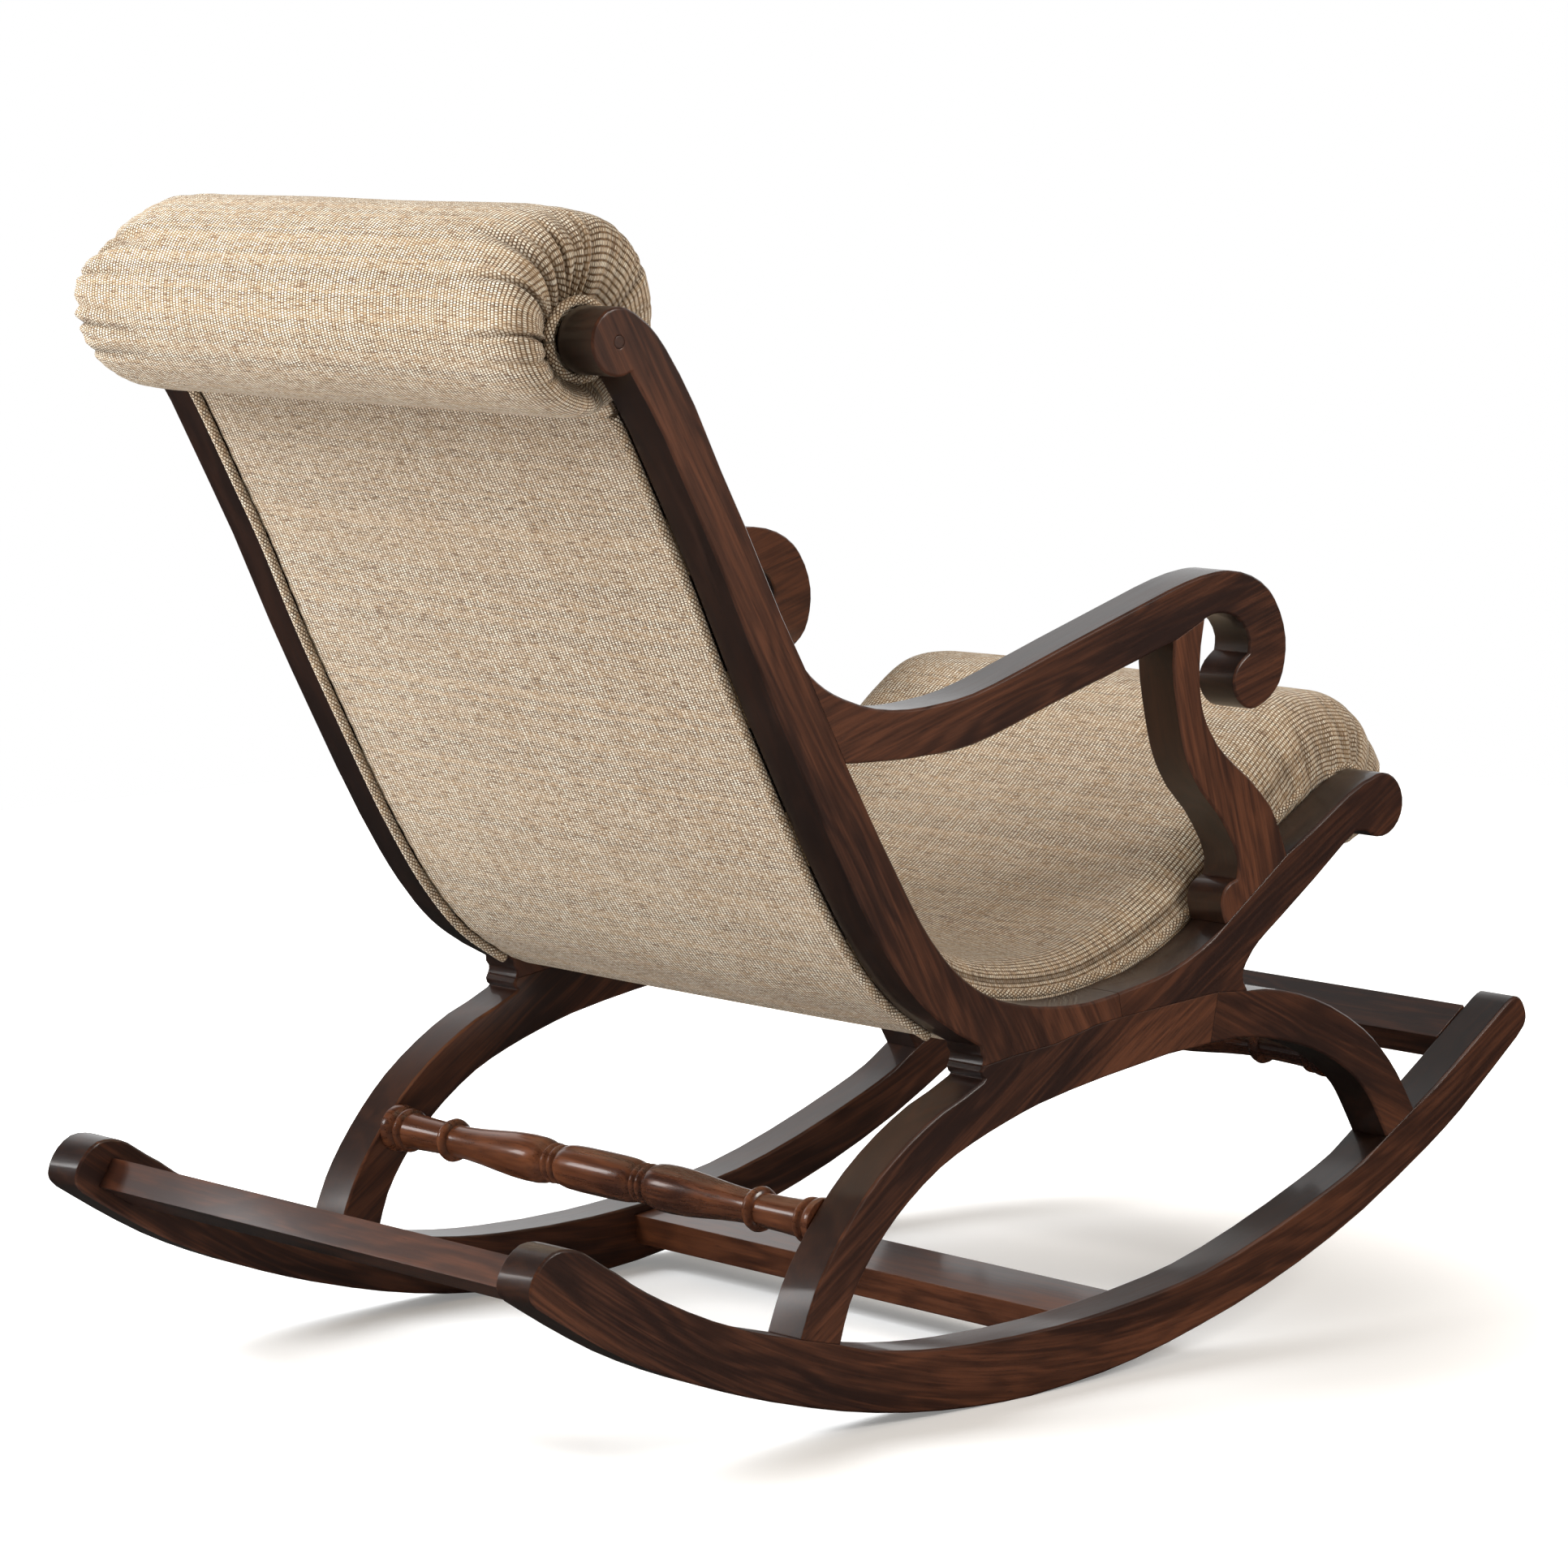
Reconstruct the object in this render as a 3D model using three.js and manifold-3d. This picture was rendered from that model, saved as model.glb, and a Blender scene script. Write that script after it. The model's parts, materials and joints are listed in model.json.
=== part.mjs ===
// Rocking chair: two flat side frames of stained hardwood boards, joined by rails, turned stretchers and rocker
// boards, with an upholstered sling seat, a head bolster and a knee roll.
// Millimetres, +Z up, the sitter faces -Y and the sitter's right is -X. z = 0 is the floor under the rockers.
import * as THREE from "three";
import { mergeVertices } from "three/addons/utils/BufferGeometryUtils.js";
import Module from "manifold-3d";

const wasm = await Module();
wasm.setup();

// ---- driving dimensions ----
const overallWidth = 620;
const overallLength = 1115; // rocker tail to rocker tip
const overallHeight = 954; // floor to the top of the head bolster
const sideThickness = 41; // every board of the two side frames
const gap = 0.3; // clearance between pieces that touch
const edgeBreak = 1.6; // chamfer on the boards' free edges

const railRadius = 18; // head rail, inside the bolster
const kneeRailRadius = 14;
const spigotLength = 20; // how far rails and stretchers enter the side frames
const stretcherRadius = 19;
const boardThickness = 26; // the three boards between the rockers
const tenonLength = 12;
const tenonShoulder = 6; // step from a board's faces to its tenon
const innerRailWidth = 30; // the two bare cross rails under the padding
const innerRailThickness = 20;
const dowelRadius = 5;
const dowelLength = 36;
const shortDowelLength = 28;
const plugRadius = 4.8; // wooden plug over the head rail's screw
const coverThickness = 3;
const webThickness = 2;
const webWidth = 50;
const bolsterRadius = 78.5;
const bolsterCorner = 42; // rounding of the bolster's ends
const kneeRollRadius = 67;
const kneeRollCorner = 36;
const ringRadius = 30; // outer radius of the piping round each roll's end
const pipingRadius = 3.2;
const curveTolerance = 0.3; // how far a chord may leave its curve
const clothTolerance = 0.6; // the same for padding and cloth
const samePlace = 0.05; // corners closer than this are one corner

// The side view was drawn at these extents; other lengths and heights stretch it.
const drawnLength = 1115;
const drawnHeight = 954;
const stretchY = overallLength / drawnLength;
const stretchZ = overallHeight / drawnHeight;

const halfWidth = overallWidth / 2;
const innerX = halfWidth - sideThickness; // inner face of a side frame
const padHalfWidth = innerX - 2 * gap;

// ---- materials ----
const wood = new THREE.MeshStandardMaterial({ color: 0x3a1d14, roughness: 0.35, metalness: 0 });
const softwood = new THREE.MeshStandardMaterial({ color: 0xb48a5a, roughness: 0.8, metalness: 0 });
const fabric = new THREE.MeshStandardMaterial({ color: 0xb9a688, roughness: 0.95, metalness: 0 });
const webbing = new THREE.MeshStandardMaterial({ color: 0x8a7550, roughness: 0.95, metalness: 0 });
const steel = new THREE.MeshStandardMaterial({ color: 0x9a9a9a, roughness: 0.4, metalness: 1 });

const chair = new THREE.Group();

function addPiece(name, geometry, material) {
  const mesh = new THREE.Mesh(geometry, material);
  mesh.name = name;
  chair.add(mesh);
  return mesh;
}

// ---- side view helpers: a point is a Vector2 holding (y, z) ----
const at = (y, z) => new THREE.Vector2(y * stretchY, z * stretchZ);
const points = (pairs) => pairs.map(([y, z]) => at(y, z));

// A smooth line through the given places, flattened until no chord is further than the tolerance from it.
function smooth(pairs, tolerance = curveTolerance) {
  const places = points(pairs).map((p) => new THREE.Vector3(p.x, p.y, 0));
  const curve = new THREE.CatmullRomCurve3(places, false, "centripetal");
  const flat = [curve.getPoint(0)];
  const divide = (t0, p0, t1, p1) => {
    const middle = (t0 + t1) / 2;
    const p = curve.getPoint(middle);
    const chord = new THREE.Line3(p0, p1).closestPointToPoint(p, true, new THREE.Vector3());
    if (chord.distanceTo(p) > tolerance) {
      divide(t0, p0, middle, p);
      divide(middle, p, t1, p1);
    } else {
      flat.push(p1);
    }
  };
  const spans = places.length - 1;
  for (let i = 0; i < spans; i++) {
    divide(i / spans, curve.getPoint(i / spans), (i + 1) / spans, curve.getPoint((i + 1) / spans));
  }
  return flat.map((p) => new THREE.Vector2(p.x, p.y));
}

// A round end: points on a circle from one angle to another, in degrees, 0 pointing to the rear.
function round([y, z], radius, from, to, steps = 16) {
  const centre = at(y, z);
  const turn = THREE.MathUtils.degToRad;
  return Array.from({ length: steps + 1 }, (_, i) => {
    const angle = turn(from + ((to - from) * i) / steps);
    return new THREE.Vector2(centre.x + radius * Math.cos(angle), centre.y + radius * Math.sin(angle));
  });
}

const free = (line) => ({ line, joint: false });
const joint = (line) => ({ line, joint: true });
const reversed = (line) => [...line].reverse();

// Joins stretches into one closed outline and marks the edges that butt against another board.
function closedOutline(stretches) {
  const corners = [];
  const joints = [];
  for (const { line, joint: isJoint } of stretches) {
    for (const p of line) {
      const last = corners[corners.length - 1];
      if (last && last.distanceTo(p) < samePlace) continue;
      if (last) joints.push(isJoint);
      corners.push(p);
    }
  }
  if (corners[0].distanceTo(corners[corners.length - 1]) < samePlace) corners.pop();
  else joints.push(false);
  if (THREE.ShapeUtils.area(corners) < 0) {
    corners.reverse();
    joints.reverse();
    joints.push(joints.shift());
  }
  return { corners, joints };
}

const gentleTurn = 0.2;

// Moves every edge of a counter-clockwise outline inwards by its own distance.
function inset({ corners, joints }, jointInset, freeInset) {
  const count = corners.length;
  const distance = (i) => (joints[i] ? jointInset : freeInset);
  return corners.map((corner, i) => {
    const before = corners[(i + count - 1) % count];
    const after = corners[(i + 1) % count];
    const a = corner.clone().sub(before).normalize();
    const b = after.clone().sub(corner).normalize();
    const normalA = new THREE.Vector2(-a.y, a.x);
    const normalB = new THREE.Vector2(-b.y, b.x);
    const da = distance((i + count - 1) % count);
    const db = distance(i);
    const cross = a.x * b.y - a.y * b.x; // sine of the turn at this corner
    if (Math.abs(cross) < gentleTurn) {
      const d = Math.min(da, db);
      return corner.clone().addScaledVector(normalA.add(normalB).normalize(), d);
    }
    // corner + u * a + v * b lies at distance da from the first edge and db from the second
    const v = da / cross;
    const u = -db / cross;
    return corner.clone().addScaledVector(b, v).addScaledVector(a, u);
  });
}

// A board lying in the side view between x = from and x = to, chamfered along its free edges.
function boardGeometry(stretches, from, to) {
  const outline = closedOutline(stretches);
  const body = inset(outline, gap / 2, 0);
  const face = inset(outline, gap / 2, edgeBreak);
  const rings = [
    [from, face],
    [from + edgeBreak, body],
    [to - edgeBreak, body],
    [to, face],
  ];
  const count = body.length;
  const position = rings.flatMap(([x, ring]) => ring.flatMap((p) => [x, p.x, p.y]));
  const index = [];
  for (let r = 0; r < rings.length - 1; r++) {
    for (let i = 0; i < count; i++) {
      const j = (i + 1) % count;
      const [a, b, c, d] = [r * count + i, r * count + j, (r + 1) * count + i, (r + 1) * count + j];
      index.push(a, b, c, b, d, c);
    }
  }
  const last = (rings.length - 1) * count;
  for (const [a, b, c] of THREE.ShapeUtils.triangulateShape(face, [])) {
    index.push(a, c, b);
    index.push(last + a, last + b, last + c);
  }
  const geometry = new THREE.BufferGeometry();
  geometry.setAttribute("position", new THREE.Float32BufferAttribute(position, 3));
  geometry.setIndex(index);
  return geometry;
}

function signedVolume(geometry) {
  const p = geometry.getAttribute("position");
  const index = geometry.getIndex();
  const corner = (i) => new THREE.Vector3().fromBufferAttribute(p, index.getX(i));
  let sum = 0;
  for (let i = 0; i < index.count; i += 3) {
    sum += corner(i).dot(corner(i + 1).cross(corner(i + 2)));
  }
  return sum / 6;
}

function flipIfInsideOut(geometry) {
  if (signedVolume(geometry) < 0) {
    const index = geometry.getIndex();
    for (let i = 0; i < index.count; i += 3) {
      const second = index.getX(i + 1);
      index.setX(i + 1, index.getX(i + 2));
      index.setX(i + 2, second);
    }
  }
  return geometry;
}

// ---- solids for cutting and joining ----
function solid(geometry) {
  const bare = geometry.clone();
  bare.deleteAttribute("normal");
  bare.deleteAttribute("uv");
  const merged = mergeVertices(bare, 1e-4);
  return new wasm.Manifold(
    new wasm.Mesh({
      numProp: 3,
      vertProperties: new Float32Array(merged.getAttribute("position").array),
      triVerts: new Uint32Array(merged.getIndex().array),
    }),
  );
}

function geometryOf(manifold) {
  const mesh = manifold.getMesh();
  const geometry = new THREE.BufferGeometry();
  geometry.setAttribute("position", new THREE.BufferAttribute(new Float32Array(mesh.vertProperties), 3));
  geometry.setIndex(new THREE.BufferAttribute(new Uint32Array(mesh.triVerts), 1));
  return geometry;
}

const cut = (geometry, tools) => geometryOf(tools.reduce((s, tool) => s.subtract(solid(tool)), solid(geometry)));
const merge = (geometry, parts) => geometryOf(parts.reduce((s, part) => s.add(solid(part)), solid(geometry)));

// A round bar along X between two places.
function crossBar(radius, from, to, centre, segments = 24) {
  const bar = new THREE.CylinderGeometry(radius, radius, Math.abs(to - from), segments);
  bar.rotateZ(Math.PI / 2);
  bar.translate((from + to) / 2, centre.x, centre.y);
  return bar;
}

// A round bar lying in the side view, through a place and along a direction.
function inPlaneBar(radius, length, x, centre, direction, segments = 12) {
  const bar = new THREE.CylinderGeometry(radius, radius, length, segments);
  bar.rotateX(Math.atan2(direction.y, direction.x));
  bar.translate(x, centre.x, centre.y);
  return bar;
}

// ---- the side frame's lines ----
const armJoint = points([[183, 526], [226, 604]]);
const stileLegJoint = smooth([[36, 274], [1, 279], [-44, 283], [-90, 293], [-119, 296]]);
const stileRailJoint = points([[-119, 296], [-115, 316]]);
const railRearLegJoint = points([[-119, 296], [-231, 304]]);
const railFrontLegJoint = points([[-231, 304], [-267, 301]]);
const legJoint = points([[-231, 304], [-222, 262]]);
const supportFoot = points([[-240, 359], [-312, 410]]);
const supportHead = points([[-212, 612], [-176, 596]]);
const rearLegFoot = points([[187, 74], [228, 84]]);
const frontLegFoot = points([[-473, 177], [-439, 157]]);

const headCentre = [408.5, 855.3];
const headRadius = 25.7;
const kneeCentre = [-427, 441];
const kneeRadius = 27;

// The stile's rear edge from the head scroll down to the hub; the sling follows the same line.
const stileRear = [
  [380, 808], [364, 783], [330, 721], [303, 671], [266, 595], [222, 512], [174, 426], [133, 365],
  [98, 327], [63, 303], [38, 290],
];

function stileStretches() {
  return [
    joint(armJoint),
    free(smooth([[226, 604], [248, 644], [284, 713], [308, 756], [334, 806], [363, 850], [379, 867], [394, 877]])),
    free(round(headCentre, headRadius, 122, -118)),
    free(smooth([[396, 831], ...stileRear])),
    free(points([[38, 290], [37.5, 285], [34.5, 281], [34.5, 277.5], [36, 274]])),
    joint(stileLegJoint),
    joint(stileRailJoint),
    free(smooth([[-115, 316], [-81, 312], [-44, 313], [-8, 318], [28, 329], [63, 351], [91, 380], [113, 411],
      [145, 463], [183, 526]])),
  ];
}

function seatRailStretches() {
  return [
    joint(reversed(stileRailJoint)),
    joint(railRearLegJoint),
    joint(railFrontLegJoint),
    free(smooth([[-267, 301], [-261, 314], [-273, 334], [-307, 359], [-346, 386], [-383, 413], [-396, 421]])),
    free(round(kneeCentre, kneeRadius, -50, -297)),
    free(smooth([[-404, 462], [-385, 453], [-345, 429], [-312, 410]])),
    joint(reversed(supportFoot)),
    free(smooth([[-240, 359], [-211, 342], [-173, 327], [-140, 320], [-115, 316]])),
  ];
}

function armSupportStretches() {
  return [
    joint(supportFoot),
    free(smooth([[-312, 410], [-302, 433], [-293, 450], [-267, 476], [-247, 491], [-228, 508], [-212, 534],
      [-207, 560], [-208, 590], [-212, 612]])),
    joint(supportHead),
    free(smooth([[-176, 596], [-175, 576], [-180, 543], [-192, 499], [-209, 471], [-229, 451], [-248, 424],
      [-254, 407], [-252, 395]])),
    free(smooth([[-252, 395], [-245, 393], [-237, 387], [-234, 377], [-236, 367], [-240, 359]])),
  ];
}

function armStretches() {
  return [
    joint(armJoint),
    free(smooth([[226, 604], [218, 596], [203, 585], [184, 576], [151, 566], [116, 563], [82, 565], [47, 570],
      [-60, 603], [-169, 637], [-207, 646.5], [-240, 649], [-267, 643], [-287, 631], [-301, 612], [-308, 590],
      [-307, 570], [-301, 553], [-290, 542], [-277, 535.5], [-266, 534], [-254, 540], [-247, 550], [-246, 562],
      [-252, 572], [-263, 580]])),
    free(smooth([[-263, 580], [-264, 591], [-256, 605], [-242, 613], [-226, 615], [-212, 612]])),
    joint(supportHead),
    free(smooth([[-176, 596], [-138, 584], [-45, 557], [47, 530], [82, 526], [120, 524.5], [155, 525], [183, 526]])),
  ];
}

function rearLegStretches() {
  return [
    joint(reversed(stileLegJoint)),
    free(points([[36, 274], [38, 270], [36.5, 266], [34, 264], [36, 262]])),
    free(smooth([[36, 262], [58, 252], [80, 243.5], [115, 224], [149, 199], [175, 173], [198, 144], [214, 118],
      [228, 84]])),
    joint(reversed(rearLegFoot)),
    free(smooth([[187, 74], [177, 104], [160, 131], [138, 156], [115, 176], [80, 199], [45, 214], [9, 226],
      [-27, 236], [-63, 243], [-100, 249], [-137, 254], [-174, 259], [-222, 262]])),
    joint(reversed(legJoint)),
    joint(reversed(railRearLegJoint)),
  ];
}

function frontLegStretches() {
  return [
    joint(reversed(legJoint)),
    joint(railFrontLegJoint),
    free(smooth([[-267, 301], [-289, 300], [-328, 292], [-368, 277], [-409, 253], [-431, 234], [-452, 210],
      [-473, 177]])),
    joint(frontLegFoot),
    free(smooth([[-439, 157], [-429, 174], [-411, 201], [-389, 220], [-362, 236], [-329, 249], [-289, 259],
      [-250, 263], [-222, 262]])),
  ];
}

// The rocker rests on a short level flat at the lowest point of its curve.
const contactFlat = points([[-20, 0], [10, 0]]);

function rockerStretches() {
  return [
    joint(reversed(rearLegFoot)),
    free(smooth([[187, 74], [150, 64], [100, 56.5], [50, 53], [0, 52], [-49, 53], [-105, 57], [-161, 63.5],
      [-219, 73], [-292, 94], [-371, 123], [-410, 140], [-439, 157]])),
    joint(reversed(frontLegFoot)),
    free(smooth([[-473, 177], [-500, 193], [-533, 215], [-574, 243], [-590, 254], [-601, 259], [-609, 256.5],
      [-615, 248], [-617, 239], [-614, 231], [-606, 223]])),
    free(smooth([[-606, 223], [-575, 199], [-534, 168], [-493, 142], [-452, 119], [-412, 98], [-372, 80],
      [-332, 64], [-293, 50.5], [-254, 38.5], [-215, 28.5], [-177, 19.5], [-139, 12], [-102, 6.5], [-65, 3],
      [-20, 0]])),
    free(contactFlat),
    free(smooth([[10, 0], [44, 1.4], [79, 4], [114, 8], [149, 13.5], [184, 20.5], [217, 28.5], [259, 40],
      [309, 56], [358, 74.5], [406, 96.5], [453, 123.5], [476, 138]])),
    free(smooth([[476, 138], [490, 147], [497.5, 156], [496, 167], [488, 179], [475, 187.5], [460, 188], [445, 183],
      [425, 170], [413, 163], [398, 152.5], [366, 134.5], [317, 112], [264, 93.5], [228, 84]])),
  ];
}

// ---- where the cross pieces meet the side frames ----
const headAxis = at(...headCentre);
const kneeAxis = at(...kneeCentre);
const rearStretcherAxis = at(166, 160);
const frontStretcherAxis = at(-412, 226);
const hubRailAxis = at(84, 341);
const seatRailAxis = at(-232, 334);
const hubRailSlope = 36;
const seatRailSlope = -23;
const spigotRadius = 9;
const screwShankRadius = 2.2;
const screwGrip = 15; // how far the screw runs into the head rail's body
const screwHeadRadius = 4.4;
const plugDepth = 8;
const screwHeadDepth = 3;

const boards = [
  { name: "rear_rocker_board", centre: [452, 152], width: 38, slope: 31 },
  { name: "middle_rocker_board", centre: [-132, 39], width: 68, slope: -6 },
  { name: "front_rocker_board", centre: [-571, 226], width: 42, slope: -35 },
];

const dowels = [
  { name: "arm_dowel", line: armJoint, radius: dowelRadius, length: dowelLength },
  { name: "arm_support_dowel", line: supportHead, radius: dowelRadius, length: shortDowelLength },
  { name: "hub_dowel", line: points([[-30, 281], [-60, 285]]), radius: dowelRadius, length: shortDowelLength },
  { name: "rear_leg_dowel", line: rearLegFoot, radius: dowelRadius, length: dowelLength },
  { name: "front_leg_dowel", line: frontLegFoot, radius: dowelRadius, length: dowelLength },
];

// A dowel stands square to the joint line, at its middle.
function dowelGeometry({ line, radius, length }, x, clearance) {
  const [start, end] = [line[0], line[line.length - 1]];
  const middle = start.clone().add(end).multiplyScalar(0.5);
  const along = end.clone().sub(start);
  return inPlaneBar(radius + clearance, length + 2 * clearance, x, middle, new THREE.Vector2(-along.y, along.x));
}

// A flat board between the rockers, following the rocker's slope, in the side view at x = 0.
function slopedBox(lengthX, width, thickness, centre, slope) {
  const box = new THREE.BoxGeometry(lengthX, width, thickness);
  box.rotateX(THREE.MathUtils.degToRad(slope));
  box.translate(0, centre.x, centre.y);
  return box;
}

// The board's tenons at both ends in one bar, or the mortises for them with a clearance.
function tenonBar({ centre, width, slope }, clearance) {
  const length = 2 * (innerX + tenonLength + clearance);
  const tenonWidth = width - 2 * tenonShoulder + 2 * clearance;
  const tenonThickness = boardThickness - 2 * tenonShoulder + 2 * clearance;
  return slopedBox(length, tenonWidth, tenonThickness, at(...centre), slope);
}

function rockerBoard(board) {
  const { centre, width, slope } = board;
  const body = slopedBox(2 * (innerX - gap), width, boardThickness, at(...centre), slope);
  return merge(body, [tenonBar(board, 0)]);
}

const rockerMortise = (board) => tenonBar(board, gap);

// The blind hole in a side frame for a rail's or stretcher's spigot, on both sides at once.
function spigotHole(centre, radius = spigotRadius) {
  const reach = innerX + spigotLength + gap;
  return crossBar(radius + gap, -reach, reach, centre, 16);
}

// Left (+X) and right (-X) boards of one outline, with the holes each needs.
function sideBoards(name, stretches, tools = () => []) {
  for (const [hand, side] of [["right", -1], ["left", 1]]) {
    const [from, to] = [side * innerX, side * halfWidth].sort((a, b) => a - b);
    const board = boardGeometry(stretches, from, to);
    const cutters = tools((from + to) / 2, side);
    addPiece(`${hand}_${name}`, cutters.length ? cut(board, cutters) : board, wood);
  }
}

function dowelHole(name, x) {
  return dowelGeometry(dowels.find((dowel) => dowel.name === name), x, gap);
}

function screwHoles(side) {
  const outer = side * (halfWidth + 1);
  const seat = side * (halfWidth - plugDepth - screwHeadDepth - 3 * gap);
  return [
    crossBar(plugRadius + gap, outer, seat, headAxis, 16),
    crossBar(screwShankRadius + gap, outer, side * innerX, headAxis, 10),
  ];
}

function buildSideFrames() {
  sideBoards("back_stile", stileStretches(), (x, side) => [
    ...screwHoles(side),
    spigotHole(headAxis),
    spigotHole(hubRailAxis),
    dowelHole("arm_dowel", x),
    dowelHole("hub_dowel", x),
  ]);
  sideBoards("arm", armStretches(), (x) => [dowelHole("arm_dowel", x), dowelHole("arm_support_dowel", x)]);
  sideBoards("arm_support", armSupportStretches(), (x) => [dowelHole("arm_support_dowel", x)]);
  sideBoards("seat_rail", seatRailStretches(), () => [spigotHole(kneeAxis), spigotHole(seatRailAxis)]);
  sideBoards("rear_leg", rearLegStretches(), (x) => [
    spigotHole(rearStretcherAxis),
    dowelHole("hub_dowel", x),
    dowelHole("rear_leg_dowel", x),
  ]);
  sideBoards("front_leg", frontLegStretches(), (x) => [
    spigotHole(frontStretcherAxis),
    dowelHole("front_leg_dowel", x),
  ]);
  sideBoards("rocker", rockerStretches(), (x) => [
    dowelHole("rear_leg_dowel", x),
    dowelHole("front_leg_dowel", x),
    ...boards.map(rockerMortise),
  ]);
}

function buildFastenings() {
  for (const [hand, side] of [["right", -1], ["left", 1]]) {
    for (const dowel of dowels) {
      const x = side * (halfWidth - sideThickness / 2);
      addPiece(`${hand}_${dowel.name}`, dowelGeometry(dowel, x, 0), softwood);
    }
    const face = side * halfWidth;
    const plug = crossBar(plugRadius, face, side * (halfWidth - plugDepth), headAxis, 16);
    addPiece(`${hand}_head_plug`, plug, wood);
    const headTop = halfWidth - plugDepth - gap;
    const head = crossBar(screwHeadRadius, side * headTop, side * (headTop - screwHeadDepth), headAxis, 12);
    const shank = crossBar(screwShankRadius, side * (headTop - 1), side * (innerX - screwGrip), headAxis, 10);
    addPiece(`${hand}_head_screw`, merge(head, [shank]), steel);
  }
}

// A rail between the side frames: a body up to the inner faces and a spigot into each.
function spigotRail(body, centre) {
  const reach = innerX + spigotLength;
  return merge(body, [crossBar(spigotRadius, -reach, reach, centre, 16)]);
}

// A turned stretcher: barrel, beads, vases, rings and end flanges, the same either side of the middle.
// The profile holds distances from the middle, as drawn for a half length of 269, and shares of the radius.
const drawnHalfStretcher = 269;

function turnedStretcher(centre) {
  const end = innerX - gap;
  const profile = [
    [0, 1], [38, 0.96], [49, 0.78], [54, 0.76], [56, 0.9], [59, 0.9], [61, 0.74], [76, 0.95], [92, 1.02],
    [118, 0.95], [172, 0.71], [185, 0.73], [189, 0.96], [196, 0.96], [200, 0.74], [249, 0.79], [254, 0.97],
    [260, 0.84], [263, 1.05],
  ].map(([x, r]) => [(x / drawnHalfStretcher) * end, r * stretcherRadius]);
  profile.push([end, 1.08 * stretcherRadius]);
  profile.push([end, spigotRadius]);
  profile.push([innerX + spigotLength, spigotRadius]);
  profile.push([innerX + spigotLength, 0]);
  const right = profile.slice(1).reverse().map(([x, r]) => new THREE.Vector2(r, -x));
  const left = profile.map(([x, r]) => new THREE.Vector2(r, x));
  const turned = new THREE.LatheGeometry([...right, ...left], 12);
  turned.rotateZ(-Math.PI / 2);
  turned.translate(0, centre.x, centre.y);
  return flipIfInsideOut(mergeBare(turned));
}

function mergeBare(geometry) {
  geometry.deleteAttribute("normal");
  geometry.deleteAttribute("uv");
  return geometryOf(solid(flipIfInsideOut(mergeVertices(geometry, 1e-4))));
}

function buildCrossPieces() {
  const length = innerX - gap;
  const headRail = spigotRail(crossBar(railRadius, -length, length, headAxis), headAxis);
  const pilot = (side) =>
    crossBar(screwShankRadius + gap, side * (innerX - screwGrip - gap), side * (halfWidth + 1), headAxis, 10);
  addPiece("head_rail", cut(headRail, [pilot(-1), pilot(1)]), wood);
  addPiece("knee_rail", spigotRail(crossBar(kneeRailRadius, -length, length, kneeAxis), kneeAxis), wood);
  addPiece("rear_stretcher", turnedStretcher(rearStretcherAxis), wood);
  addPiece("front_stretcher", turnedStretcher(frontStretcherAxis), wood);
  for (const board of boards) addPiece(board.name, rockerBoard(board), wood);
  const innerRails = { hub_cross_rail: [hubRailAxis, hubRailSlope], seat_cross_rail: [seatRailAxis, seatRailSlope] };
  for (const [name, [axis, slope]] of Object.entries(innerRails)) {
    addPiece(name, spigotRail(innerRail(2 * length, 0, axis, slope), axis), softwood);
  }
}

// A bare cross rail's body, or the room that the padding leaves for it with a clearance.
function innerRail(length, clearance, axis, slope) {
  return slopedBox(length, innerRailWidth + 2 * clearance, innerRailThickness + 2 * clearance, axis, slope);
}

// ---- upholstery ----
// The back of the sling: down the stiles' rear edges and on under the seat to the knee rail.
const slingLine = smooth([
  ...stileRear.slice(0, -1), [34, 289.5], [0, 284], [-60, 281], [-130, 286], [-195, 301], [-262, 329], [-320, 367],
  [-388, 411],
], clothTolerance);

// The sitting surface, a little proud of the frames' inner edges.
const sittingLine = smooth([
  [321, 803], [300, 764], [276, 718], [228, 622], [176, 530], [98, 402], [78, 376], [55, 353], [24, 335],
  [-8, 326], [-44, 321], [-81, 320], [-115, 323], [-152, 330], [-200, 346], [-236, 366], [-300, 409],
  [-340, 435], [-378, 460],
], clothTolerance);

// The line moved sideways towards the sitter.
function offset(line, distance) {
  return line.map((p, i) => {
    const before = line[Math.max(0, i - 1)];
    const after = line[Math.min(line.length - 1, i + 1)];
    const along = after.clone().sub(before).normalize();
    return p.clone().add(new THREE.Vector2(along.y, -along.x).multiplyScalar(distance));
  });
}

function extruded(outline, halfLength) {
  const shape = new THREE.Shape(outline);
  const band = new THREE.ExtrudeGeometry(shape, { depth: 2 * halfLength, bevelEnabled: false, steps: 1 });
  // shape (y, z) extruded along x
  band.applyMatrix4(new THREE.Matrix4().set(0, 0, 1, -halfLength, 1, 0, 0, 0, 0, 1, 0, 0, 0, 0, 0, 1));
  return band;
}

function band(inner, outer, halfLength) {
  return extruded([...outer, ...reversed(inner)], halfLength);
}

// A stuffed roll along X with rounded ends.
function roll(radius, halfLength, cornerRadius, centre, segments = 24) {
  const corner = (sign) =>
    Array.from({ length: cornerSteps + 1 }, (_, i) => {
      const angle = (i / cornerSteps) * (Math.PI / 2);
      const r = radius - cornerRadius + cornerRadius * Math.cos(angle);
      return new THREE.Vector2(r, sign * (halfLength - cornerRadius + cornerRadius * Math.sin(angle)));
    });
  const ends = [new THREE.Vector2(0, -halfLength), ...reversed(corner(-1)), ...corner(1), new THREE.Vector2(0, halfLength)];
  const lathe = new THREE.LatheGeometry(ends, segments);
  lathe.rotateZ(-Math.PI / 2);
  lathe.translate(0, centre.x, centre.y);
  return mergeBare(lathe);
}

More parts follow.
